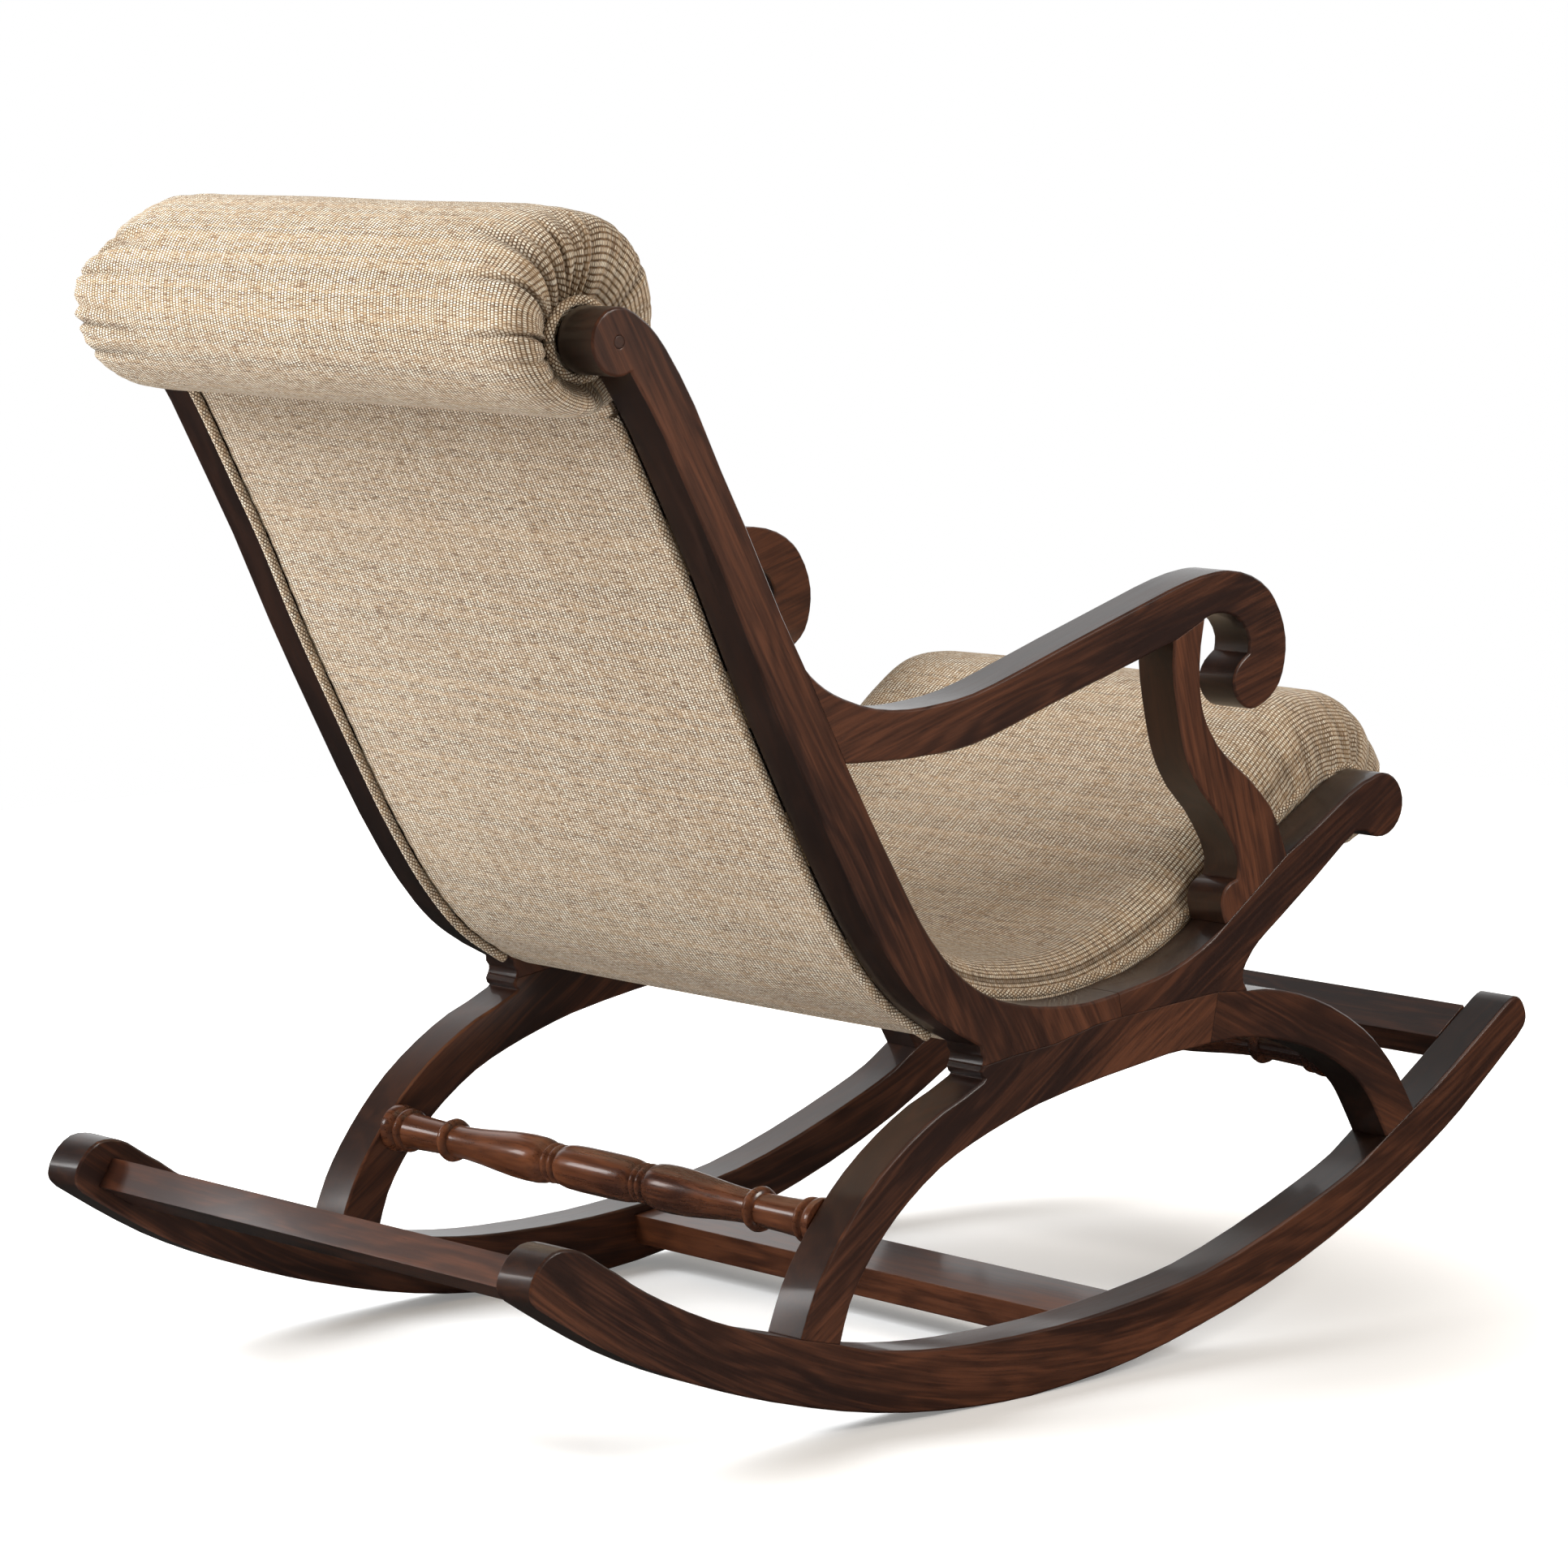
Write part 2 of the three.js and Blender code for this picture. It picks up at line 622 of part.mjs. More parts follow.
const bolsterCentre = at(407, drawnHeight).sub(new THREE.Vector2(0, bolsterRadius));
const kneeRollCentre = at(-427, 461);
const rollHalfLength = innerX - 2 * gap - 2 * pipingRadius;
const cornerSteps = 4;

function buildRolls() {
  const clearBar = (radius, centre) => crossBar(radius + gap, -halfWidth, halfWidth, centre);
  const bolster = roll(bolsterRadius, rollHalfLength, bolsterCorner, bolsterCentre);
  addPiece("head_bolster", cut(bolster, [clearBar(railRadius, headAxis)]), fabric);
  const kneeRoll = roll(kneeRollRadius, rollHalfLength, kneeRollCorner, kneeRollCentre);
  addPiece("knee_roll", cut(kneeRoll, [clearBar(kneeRailRadius, kneeAxis)]), fabric);
  for (const [hand, side] of [["right", -1], ["left", 1]]) {
    for (const [place, centre] of [["head", headAxis], ["knee", kneeAxis]]) {
      const ring = new THREE.TorusGeometry(ringRadius - pipingRadius, pipingRadius, 6, 18);
      ring.rotateY(Math.PI / 2);
      ring.translate(side * (innerX - gap - pipingRadius), centre.x, centre.y);
      addPiece(`${hand}_${place}_piping_ring`, mergeBare(ring), fabric);
    }
  }
}

function buildSling() {
  const bolsterSpace = crossBar(bolsterRadius + gap, -halfWidth, halfWidth, bolsterCentre, 64);
  const kneeSpace = crossBar(kneeRollRadius + gap, -halfWidth, halfWidth, kneeRollCentre, 64);
  const coverInner = offset(slingLine, coverThickness);
  const webInner = offset(slingLine, coverThickness + gap);
  const webOuter = offset(slingLine, coverThickness + gap + webThickness);
  const padInner = offset(slingLine, coverThickness + webThickness + 2 * gap);

  // outer cover, back panel and underside in one turn of cloth, split where it passes under the hub
  const toRolls = (line) => [bolsterCentre, ...line, kneeRollCentre];
  const cover = band(toRolls(slingLine), coverInner, padHalfWidth - 2 * pipingRadius - gap);
  const hem = at(40, 0).x;
  const half = (side) => {
    const block = new THREE.BoxGeometry(2 * overallWidth, 2 * overallLength, 4 * overallHeight);
    return block.translate(0, hem + side * (overallLength - gap / 2), 0);
  };
  addPiece("back_cover", cut(cover, [half(-1), bolsterSpace]), fabric);
  addPiece("underside_cover", cut(cover, [half(1), kneeSpace]), fabric);

  // the padding, split into the back's and the seat's at the bend
  const pad = band(toRolls(padInner), sittingLine, padHalfWidth);
  const upper = new THREE.BoxGeometry(2 * overallWidth, overallLength, overallHeight);
  const split = at(60, 432);
  upper.translate(0, split.x + overallLength / 2, split.y + overallHeight / 2);
  const rails = [
    innerRail(4 * innerX, gap, hubRailAxis, hubRailSlope),
    innerRail(4 * innerX, gap, seatRailAxis, seatRailSlope),
  ];
  const whole = solid(pad).subtract(solid(bolsterSpace)).subtract(solid(kneeSpace));
  const backPad = whole.intersect(solid(upper.clone().translate(0, 0, gap)));
  addPiece("back_pad", geometryOf(backPad), fabric);
  addPiece("seat_pad", cut(geometryOf(whole), [upper, ...rails]), fabric);

  buildWebbing(webInner, webOuter);
  buildPiping();
}

// Cross straps stapled to the side frames between the outer cover and the padding, each centred near its place.
const strapPlaces = [[316, 695], [256, 575], [195, 462], [127, 359], [-130, 286], [-236, 317]];

function buildWebbing(inner, outer) {
  const lengths = [0];
  for (let i = 1; i < inner.length; i++) lengths.push(lengths[i - 1] + inner[i].distanceTo(inner[i - 1]));
  const along = (line, s) => {
    const i = Math.max(1, lengths.findIndex((length) => length >= s));
    const t = (s - lengths[i - 1]) / (lengths[i] - lengths[i - 1]);
    return line[i - 1].clone().lerp(line[i], t);
  };
  strapPlaces.forEach((place, k) => {
    const middle = lengthNearest(inner, lengths, at(...place));
    const [start, end] = [middle - webWidth / 2, middle + webWidth / 2];
    const inside = lengths.map((length, i) => [length, i]).filter(([length]) => length > start && length < end);
    const nearSide = [along(inner, start), ...inside.map(([, i]) => inner[i]), along(inner, end)];
    const farSide = [along(outer, start), ...inside.map(([, i]) => outer[i]), along(outer, end)];
    addPiece(`webbing_strap_${k + 1}`, band(nearSide, farSide, padHalfWidth), webbing);
  });
}

// How far along a line its nearest point to a place is.
function lengthNearest(line, lengths, place) {
  let best = Infinity;
  let found = 0;
  for (let i = 1; i < line.length; i++) {
    const span = line[i].clone().sub(line[i - 1]);
    const share = place.clone().sub(line[i - 1]).dot(span) / span.lengthSq();
    const t = THREE.MathUtils.clamp(share, 0, 1);
    const distance = line[i - 1].clone().addScaledVector(span, t).distanceTo(place);
    if (distance < best) {
      best = distance;
      found = lengths[i - 1] + t * span.length();
    }
  }
  return found;
}

// Round cord along a side view line at a fixed x.
function cordGeometry(line, x) {
  const places = line.map((p) => new THREE.Vector3(x, p.x, p.y));
  const path = new THREE.CatmullRomCurve3(places, false, "centripetal");
  const section = new THREE.Shape(round([0, 0], pipingRadius, 0, 360, 6).slice(0, -1));
  return new THREE.ExtrudeGeometry(section, { steps: line.length, bevelEnabled: false, extrudePath: path });
}

function buildPiping() {
  const rearLine = offset(smooth([[357, 771], ...stileRear.slice(2, -1)], clothTolerance), -3 * gap);
  const seatLine = offset(smooth([
    [90, 392], [78, 376], [55, 353], [24, 335], [-8, 326], [-44, 321], [-81, 320], [-115, 323], [-152, 330],
    [-200, 346], [-236, 366], [-300, 409], [-340, 435], [-364, 451],
  ], clothTolerance), pipingRadius + 3 * gap);
  for (const [hand, side] of [["right", -1], ["left", 1]]) {
    const x = side * (padHalfWidth - pipingRadius);
    addPiece(`${hand}_back_piping`, cordGeometry(rearLine, x), fabric);
    addPiece(`${hand}_seat_piping`, cordGeometry(seatLine, x), fabric);
  }
}

buildSideFrames();
buildFastenings();
buildCrossPieces();
buildRolls();
buildSling();

// The origin is the middle of the chair's box on the floor.
const box = new THREE.Box3().setFromObject(chair);
const part = new THREE.Group();
chair.position.set(0, -(box.min.y + box.max.y) / 2, 0);
part.add(chair);

export default part;
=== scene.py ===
"""Looks of a wooden rocking chair with an upholstered sling seat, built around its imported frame.

Everything is in metres in the part's frame: z = 0 is the floor under the rockers, the sitter faces -Y and
the sitter's right is -X. Shapes that follow the side frames are written as side view places (y, z) in
millimetres, counted from the rockers' lowest point, and SideView turns them into the part's frame.
"""

import json
import logging
import math
from dataclasses import dataclass, field, replace
from enum import Enum
from typing import Callable, Sequence

import bmesh
import bpy
import numpy as np
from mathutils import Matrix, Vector

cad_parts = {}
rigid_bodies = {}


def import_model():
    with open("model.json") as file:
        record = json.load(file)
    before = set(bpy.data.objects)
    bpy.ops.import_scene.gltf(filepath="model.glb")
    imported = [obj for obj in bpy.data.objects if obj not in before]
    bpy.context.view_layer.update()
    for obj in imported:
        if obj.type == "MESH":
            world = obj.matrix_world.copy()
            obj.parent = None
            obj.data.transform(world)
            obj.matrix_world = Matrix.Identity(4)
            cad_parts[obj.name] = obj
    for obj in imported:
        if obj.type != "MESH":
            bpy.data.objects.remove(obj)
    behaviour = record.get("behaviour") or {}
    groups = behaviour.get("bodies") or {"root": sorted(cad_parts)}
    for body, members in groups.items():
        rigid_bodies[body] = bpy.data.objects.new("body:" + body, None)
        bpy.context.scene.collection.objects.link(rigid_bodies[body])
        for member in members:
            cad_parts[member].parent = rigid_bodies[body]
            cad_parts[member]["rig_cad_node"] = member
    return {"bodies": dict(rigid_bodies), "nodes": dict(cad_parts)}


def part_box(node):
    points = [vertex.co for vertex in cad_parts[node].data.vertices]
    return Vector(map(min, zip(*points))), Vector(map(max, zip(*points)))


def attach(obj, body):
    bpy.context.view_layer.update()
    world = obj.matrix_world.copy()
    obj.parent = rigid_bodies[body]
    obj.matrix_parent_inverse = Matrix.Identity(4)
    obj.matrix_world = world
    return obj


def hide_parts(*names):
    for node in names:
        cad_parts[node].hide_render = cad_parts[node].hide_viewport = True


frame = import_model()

log = logging.getLogger("rocking_chair")

MM = 0.001
BODY = next(iter(frame["bodies"]))
THREAD = "thread"  # each cloth vertex's place on its own flat cloth, m, and how deep in a fold or seam it lies, painted on the cloth as shade
Place = tuple[float, float]
RGB = tuple[float, float, float]


class Hand(Enum):
    """The two sides of the chair, as the sitter names them."""

    RIGHT = ("right", -1.0)
    LEFT = ("left", 1.0)

    @property
    def word(self) -> str:
        """The name that a piece on this side starts with."""
        return self.value[0]

    @property
    def sign(self) -> float:
        """-1 on the sitter's right, 1 on the left."""
        return self.value[1]


class Slot(Enum):
    """The record's material slots."""

    WOOD = "stained_wood"
    BARE = "inner_wood"
    FABRIC = "upholstery_fabric"
    WEBBING = "webbing"
    STEEL = "screw_steel"


# ---- sizes that the frame shares ----
INNER_X = 269.0  # inner face of a side frame, mm from the middle
HEAD_CENTRE: Place = (408.5, 855.3)
KNEE_CENTRE: Place = (-427.0, 441.0)
BOLSTER_CENTRE: Place = (407.0, 875.5)
BOLSTER_RADIUS = 78.5
KNEE_ROLL_CENTRE: Place = (-427.0, 461.0)
KNEE_ROLL_RADIUS = 68.0
REAR_STRETCHER: Place = (166.0, 160.0)
FRONT_STRETCHER: Place = (-412.0, 226.0)
PIPING_RADIUS = 4.1
PIPING_GAP = 0.6  # between a cord and the side frame
RING_RADIUS = 27.0  # where the rolls' cloth is drawn in
SMOOTH_ANGLE = 32.0  # edges flatter than this shade as smooth, degrees

# ---- colours ----
EDGE_STAIN_AND_SHADE: RGB = (0.0085, 0.0050, 0.0042)  # stain soaked into sawn edges, and painted shade on the frame boards' edge faces
RUBBED_STAIN: RGB = (0.13, 0.05, 0.027)
PAINTED_FOLD_SHADE: RGB = (0.16, 0.12, 0.09)  # painted shade: what a deep fold leaves of the cloth's colour
WHITE: RGB = (1.0, 1.0, 1.0)
DARK_ROOM: RGB = (0.022, 0.021, 0.020)  # what the lacquer mirrors where no lamp stands


@dataclass(frozen=True)
class SideView:
    """Turns side view places in millimetres into the part's frame in metres."""

    shift: float

    @classmethod
    def from_frame(cls) -> "SideView":
        """Finds the side view's origin from the wooden plug in the middle of the head scroll."""
        low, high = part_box("right_head_plug")
        return cls((low.y + high.y) / 2 - HEAD_CENTRE[0] * MM)

    def points(self, x: np.ndarray, y: np.ndarray, z: np.ndarray) -> np.ndarray:
        """Millimetres to metres.

        Args:
            x: Distances from the middle plane.
            y: Side view distances to the rear.
            z: Heights.

        Returns:
            The points with their three coordinates on the last axis.
        """
        x, y, z = np.broadcast_arrays(x, y, z)
        return np.stack([x * MM, y * MM + self.shift, z * MM], axis=-1)


# ---- meshes ----
def smooth_line(places: Sequence[Sequence[float]], steps: int) -> np.ndarray:
    """A centripetal Catmull-Rom curve through rows of numbers.

    Args:
        places: Rows to pass through, of any width; the first two columns set the spacing.
        steps: How many rows to return, evenly spaced along the curve's first two columns.

    Returns:
        An array of steps rows.
    """
    rows = np.array(places, float)
    ends = np.vstack([2 * rows[0] - rows[1], rows, 2 * rows[-1] - rows[-2]])
    gaps = np.linalg.norm(np.diff(ends[:, :2], axis=0), axis=1)
    knots = np.concatenate([[0], np.cumsum(gaps**0.5 + 1e-6)])
    fine: list[np.ndarray] = []
    per_span = 24
    for i in range(1, len(ends) - 2):
        t = np.linspace(knots[i], knots[i + 1], per_span, endpoint=False)[:, None]
        p, k = ends[i - 1 : i + 3], knots[i - 1 : i + 3]
        a1 = (k[1] - t) / (k[1] - k[0]) * p[0] + (t - k[0]) / (k[1] - k[0]) * p[1]
        a2 = (k[2] - t) / (k[2] - k[1]) * p[1] + (t - k[1]) / (k[2] - k[1]) * p[2]
        a3 = (k[3] - t) / (k[3] - k[2]) * p[2] + (t - k[2]) / (k[3] - k[2]) * p[3]
        b1 = (k[2] - t) / (k[2] - k[0]) * a1 + (t - k[0]) / (k[2] - k[0]) * a2
        b2 = (k[3] - t) / (k[3] - k[1]) * a2 + (t - k[1]) / (k[3] - k[1]) * a3
        fine.append((k[2] - t) / (k[2] - k[1]) * b1 + (t - k[1]) / (k[2] - k[1]) * b2)
    line = np.vstack([*fine, rows[-1:]])
    along = run_along(line[:, :2])
    wanted = np.linspace(0, along[-1], steps)
    return np.stack([np.interp(wanted, along, line[:, c]) for c in range(line.shape[1])], axis=1)


def full_turn(steps: int) -> np.ndarray:
    """Angles evenly round a circle, in radians, the first at 0."""
    return np.linspace(0, 2 * math.pi, steps, endpoint=False)


def run_along(line: np.ndarray) -> np.ndarray:
    """The distance covered at each row of a line's points."""
    return np.concatenate([[0], np.cumsum(np.linalg.norm(np.diff(line, axis=0), axis=1))])


def left_of(line: np.ndarray) -> np.ndarray:
    """Unit vectors square to a side view line, on its left as it runs."""
    tangent = np.gradient(line, axis=0)
    tangent /= np.linalg.norm(tangent, axis=1, keepdims=True)
    return np.stack([-tangent[:, 1], tangent[:, 0]], axis=1)


def grid_faces(rows: int, columns: int, wrap_columns: bool = False) -> list[tuple[int, int, int, int]]:
    """Quads of a grid whose vertices are numbered row by row.

    Args:
        rows: Vertex rows.
        columns: Vertex columns.
        wrap_columns: Whether the last column joins the first.

    Returns:
        Vertex numbers, four for each face.
    """
    faces = []
    for r in range(rows - 1):
        for c in range(columns if wrap_columns else columns - 1):
            n = (c + 1) % columns
            faces.append((r * columns + c, r * columns + n, (r + 1) * columns + n, (r + 1) * columns + c))
    return faces


def tube_faces(rows: int, columns: int) -> list[Sequence[int]]:
    """Faces of a tube of vertex rings, with a lid at each end.

    Args:
        rows: Rings.
        columns: Vertices in each ring.

    Returns:
        Vertex numbers of each face.
    """
    faces: list[Sequence[int]] = list(grid_faces(rows, columns, wrap_columns=True))
    faces.append(list(range(columns)))
    faces.append([(rows - 1) * columns + k for k in reversed(range(columns))])
    return faces


def surface_normals(grid: np.ndarray) -> np.ndarray:
    """Unit normals of a grid of points, rows by columns by three."""
    normal = np.cross(np.gradient(grid, axis=1), np.gradient(grid, axis=0))
    return normal / np.maximum(np.linalg.norm(normal, axis=-1, keepdims=True), 1e-12)


def make_piece(
    name: str,
    points: np.ndarray,
    faces: Sequence[Sequence[int]],
    thread: np.ndarray | None = None,
) -> bpy.types.Object:
    """A smooth-shaded mesh object that rides on the chair.

    Args:
        name: The piece's name.
        points: Vertices in the part's frame.
        faces: Vertex numbers of each face.
        thread: The THREAD value of each vertex, if it is cloth.

    Returns:
        The object.
    """
    mesh = bpy.data.meshes.new(name)
    mesh.from_pydata(np.asarray(points).reshape(-1, 3).tolist(), [], [list(f) for f in faces])
    mesh.validate()
    mesh.shade_smooth()
    if thread is not None:
        made = mesh.attributes.new(THREAD, "FLOAT_VECTOR", "POINT")
        made.data.foreach_set("vector", np.asarray(thread, np.float32).ravel())
    obj = bpy.data.objects.new(name, mesh)
    bpy.context.scene.collection.objects.link(obj)
    log.info("%s: %d faces", name, len(mesh.polygons))
    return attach(obj, BODY)


def face_outwards(obj: bpy.types.Object) -> None:
    """Turns a closed mesh's faces to point out."""
    work = bmesh.new()
    work.from_mesh(obj.data)
    bmesh.ops.recalc_face_normals(work, faces=work.faces)
    work.to_mesh(obj.data)
    work.free()


def eased(share: np.ndarray) -> np.ndarray:
    """A smooth step from 0 to 1, held outside."""
    t = np.clip(share, 0, 1)
    return t * t * (3 - 2 * t)


# ---- shader trees ----
class Tree:
    """Adds nodes to one shader tree."""

    def __init__(self, tree: bpy.types.NodeTree) -> None:
        """Keeps the tree that nodes go in."""
        self.tree = tree

    def node(self, kind: str, inputs: dict | None = None, **settings: object) -> bpy.types.Node:
        """Adds a node.

        Args:
            kind: The node's type, without its ShaderNode prefix.
            inputs: For each input, by name or number, a socket to link from or a value.
            **settings: Properties to set on the node.

        Returns:
            The node.
        """
        made = self.tree.nodes.new("ShaderNode" + kind)
        for key, value in settings.items():
            setattr(made, key, value)
        for key, value in (inputs or {}).items():
            self.feed(made.inputs[key], value)
        return made

    def feed(self, socket: bpy.types.NodeSocket, value: object) -> None:
        """Links a socket, or sets it where the value is plain."""
        if isinstance(value, bpy.types.NodeSocket):
            self.tree.links.new(value, socket)
        elif isinstance(value, tuple) and socket.type == "RGBA":
            socket.default_value = (*value, 1.0) if len(value) == 3 else value
        else:
            socket.default_value = value

    def math(self, operation: str, *values: object, clamp: bool = False) -> bpy.types.NodeSocket:
        """One Math node over sockets or numbers."""
        inputs = dict(enumerate(values))
        return self.node("Math", inputs, operation=operation, use_clamp=clamp).outputs[0]

    def blend(self, factor: object, a: object, b: object, mode: str = "MIX") -> bpy.types.NodeSocket:
        """Mixes two colours."""
        inputs = {0: factor, 6: a, 7: b}
        return self.node("Mix", inputs, data_type="RGBA", blend_type=mode).outputs[2]

    def range(
        self, value: object, low: float, high: float, to_low: float = 0.0, to_high: float = 1.0
    ) -> bpy.types.NodeSocket:
        """Maps low..high smoothly to to_low..to_high, held outside."""
        inputs = {0: value, 1: low, 2: high, 3: to_low, 4: to_high}
        return self.node("MapRange", inputs, interpolation_type="SMOOTHSTEP").outputs[0]

    def noise(self, vector: object, scale: object, detail: float = 3.0, rough: float = 0.55) -> object:
        """A noise texture's value."""
        inputs = {"Vector": vector, "Scale": scale, "Detail": detail, "Roughness": rough}
        return self.node("TexNoise", inputs).outputs[0]

    def combine(self, x: object, y: object, z: object) -> bpy.types.NodeSocket:
        """Three numbers as one vector."""
        return self.node("CombineXYZ", {0: x, 1: y, 2: z}).outputs[0]

    def split(self, vector: object) -> tuple[bpy.types.NodeSocket, ...]:
        """A vector's three numbers."""
        return tuple(self.node("SeparateXYZ", {0: vector}).outputs)


@dataclass
class Effect:
    """A shader node group that several materials share, built once."""

    name: str
    inputs: dict[str, tuple[str, object]]
    outputs: dict[str, str]
    build: Callable[[Tree, dict], dict]
    group: bpy.types.NodeTree | None = None

    def tree(self) -> bpy.types.NodeTree:
        """The group, built at its first use."""
        if self.group is None:
            self.group = bpy.data.node_groups.new(self.name, "ShaderNodeTree")
            for name, (kind, default) in self.inputs.items():
                kind_name = "NodeSocket" + kind
                socket = self.group.interface.new_socket(name, in_out="INPUT", socket_type=kind_name)
                if default is not None:
                    socket.default_value = (*default, 1.0) if kind == "Color" else default
            for name, kind in self.outputs.items():
                self.group.interface.new_socket(name, in_out="OUTPUT", socket_type="NodeSocket" + kind)
            work = Tree(self.group)
            entry, end = (self.group.nodes.new("NodeGroup" + way) for way in ("Input", "Output"))
            given = {socket.name: socket for socket in entry.outputs if socket.name}
            for name, socket in self.build(work, given).items():
                work.feed(end.inputs[name], socket)
        return self.group

    def place(self, work: Tree, **values: object) -> dict[str, bpy.types.NodeSocket]:
        """Puts the group in a material.

        Args:
            work: The material's tree.
            **values: Input values or sockets, with _ for a space in a name.

        Returns:
            The group's outputs by name.
        """
        made = work.node("Group", node_tree=self.tree())
        for key, value in values.items():
            work.feed(made.inputs[key.replace("_", " ")], value)
        return {s.name: s for s in made.outputs}


def build_grain(w: Tree, i: dict) -> dict:
    """Stained, sawn grain: broad figure, fine streaks and short dark pores along the board.

    Args:
        w: The group's tree.
        i: Its inputs.

    Returns:
        What feeds each output.
    """
    turn = w.node("VectorRotate", {"Vector": i["Vector"], "Angle": i["Angle"]}, rotation_type="X_AXIS")
    x, along, across = w.split(turn.outputs[0])
    bend = w.math("MULTIPLY", w.math("MULTIPLY", along, along), i["Bow"])
    across = w.math("ADD", across, bend)

    def stretched(by_x: float, by_along: float, by_across: float) -> bpy.types.NodeSocket:
        """The place in the board, scaled along each of its own directions and shifted by the seed."""
        shifted = w.math("ADD", w.math("MULTIPLY", x, by_x), i["Seed"])
        return w.combine(shifted, w.math("MULTIPLY", along, by_along), w.math("MULTIPLY", across, by_across))

    slow = stretched(9.0, 2.6, 17.0)
    figure = w.noise(slow, 1.0, 3.0, 0.5)
    wander = w.noise(slow, 2.3, 2.0, 0.5)
    rings = w.math("ADD", w.math("MULTIPLY", across, 420.0), w.math("MULTIPLY", wander, 34.0))
    ring = w.math("ADD", w.math("MULTIPLY", w.math("SINE", rings), 0.5), 0.5)
    streak = w.noise(stretched(330.0, 12.0, 520.0), 1.0, 4.0, 0.6)
    pores = w.range(w.noise(stretched(700.0, 55.0, 900.0), 1.0, 2.0, 0.5), 0.60, 0.74)
    lively = w.math("ADD", w.math("MULTIPLY", streak, 0.42), w.math("MULTIPLY", ring, 0.10))
    lively = w.math("ADD", lively, w.math("MULTIPLY", figure, 0.62))
    warm = w.range(lively, 0.45, 0.88)
    stain = w.blend(w.range(figure, 0.33, 0.60), i["Dark"], i["Mid"])
    colour = w.blend(w.math("MULTIPLY", warm, i["Liveliness"]), stain, i["Warm"])
    colour = w.blend(w.math("MULTIPLY", pores, 0.45), colour, i["Pore"])
    height = w.math("SUBTRACT", w.math("MULTIPLY", streak, 0.35), w.math("MULTIPLY", pores, 0.8))
    rough = w.math("ADD", w.math("MULTIPLY", streak, 0.14), w.math("MULTIPLY", figure, 0.10))
    return {"Color": colour, "Height": height, "Roughness": w.math("ADD", rough, i["Base Roughness"])}


def build_wear(w: Tree, i: dict) -> dict:
    """Rounded, slightly rubbed edges: a softened normal and a mask along every sharp edge.

    Args:
        w: The group's tree.
        i: Its inputs.

    Returns:
        What feeds each output.
    """
    bevel = w.node("Bevel", {"Radius": i["Radius"]}, samples=4).outputs[0]
    flat = w.node("NewGeometry").outputs["Normal"]
    same = w.node("VectorMath", {0: bevel, 1: flat}, operation="DOT_PRODUCT").outputs["Value"]
    edge = w.range(same, 0.995, 0.86)
    patchy = w.range(w.noise(i["Vector"], 34.0, 3.0), 0.38, 0.66)
    rubbed = w.math("MULTIPLY", edge, w.math("ADD", w.math("MULTIPLY", patchy, 0.7), 0.3))
    return {"Edge": rubbed, "Normal": bevel}


def build_weave(w: Tree, i: dict) -> dict:
    """A two-tone plain weave on the cloth's own flat coordinates, with uneven yarns, slubs and painted shade in
    folds and seams.

    Args:
        w: The group's tree.
        i: Its inputs.

    Returns:
        What feeds each output.
    """
    u, v, fold = w.split(i["Thread"])
    wobble = w.math("MULTIPLY", w.math("SUBTRACT", w.noise(i["Thread"], 45.0, 2.0), 0.5), i["Wobble"])
    u = w.math("ADD", u, wobble)
    v = w.math("ADD", v, w.math("MULTIPLY", wobble, 0.7))
    end = w.math("DIVIDE", u, i["Warp Pitch"])
    pick = w.math("DIVIDE", v, i["Weft Pitch"])
    odd = w.math("MODULO", w.math("FLOOR", end), 2.0)
    pick = w.math("ADD", pick, w.math("MULTIPLY", odd, 0.5))
    end_round = w.math("ABSOLUTE", w.math("SINE", w.math("MULTIPLY", end, math.pi)))
    pick_round = w.math("ABSOLUTE", w.math("SINE", w.math("MULTIPLY", pick, math.pi)))
    float_mask = w.math("MULTIPLY", w.range(end_round, 0.22, 0.85), w.range(pick_round, 0.10, 0.80))
    end_yarn, pick_yarn = (
        w.node("TexWhiteNoise", {"W": w.math("FLOOR", yarn)}, noise_dimensions="1D").outputs["Value"]
        for yarn in (end, pick)
    )
    slub_at = w.combine(w.math("MULTIPLY", u, 52.0), w.math("MULTIPLY", v, 640.0), 3.0)
    slub = w.range(w.noise(slub_at, 1.0, 1.0), 0.585, 0.67)
    cell_at = w.combine(w.math("FLOOR", end), w.math("FLOOR", pick), 0.0)
    cell = w.node("TexWhiteNoise", {"Vector": cell_at}, noise_dimensions="3D").outputs["Value"]
    blotch = w.noise(i["Thread"], 7.0, 3.0)
    bright = w.math("ADD", w.math("MULTIPLY", cell, 0.58), w.math("MULTIPLY", end_yarn, 0.22))
    bright = w.math("ADD", bright, w.math("MULTIPLY", pick_yarn, 0.12))
    light = w.blend(bright, i["Light"], i["Tan"])
    ground = w.blend(w.math("MULTIPLY", pick_yarn, 0.5), i["Dark"], i["Tan"])
    colour = w.blend(float_mask, ground, light)
    colour = w.blend(w.math("MULTIPLY", slub, i["Slub"]), colour, i["Yarn"])
    shade = w.math("ADD", w.math("MULTIPLY", blotch, 0.16), 0.92)
    colour = w.blend(1.0, colour, w.combine(shade, shade, shade), "MULTIPLY")
    # Painted shade: the thread's third value darkens the colour towards the painted fold shade colour.
    deep = w.blend(1.0, colour, PAINTED_FOLD_SHADE, "MULTIPLY")
    colour = w.blend(fold, colour, deep)
    height = w.math("ADD", w.math("MULTIPLY", float_mask, 0.8), w.math("MULTIPLY", cell, 0.2))
    return {"Color": colour, "Height": height, "Floats": float_mask}


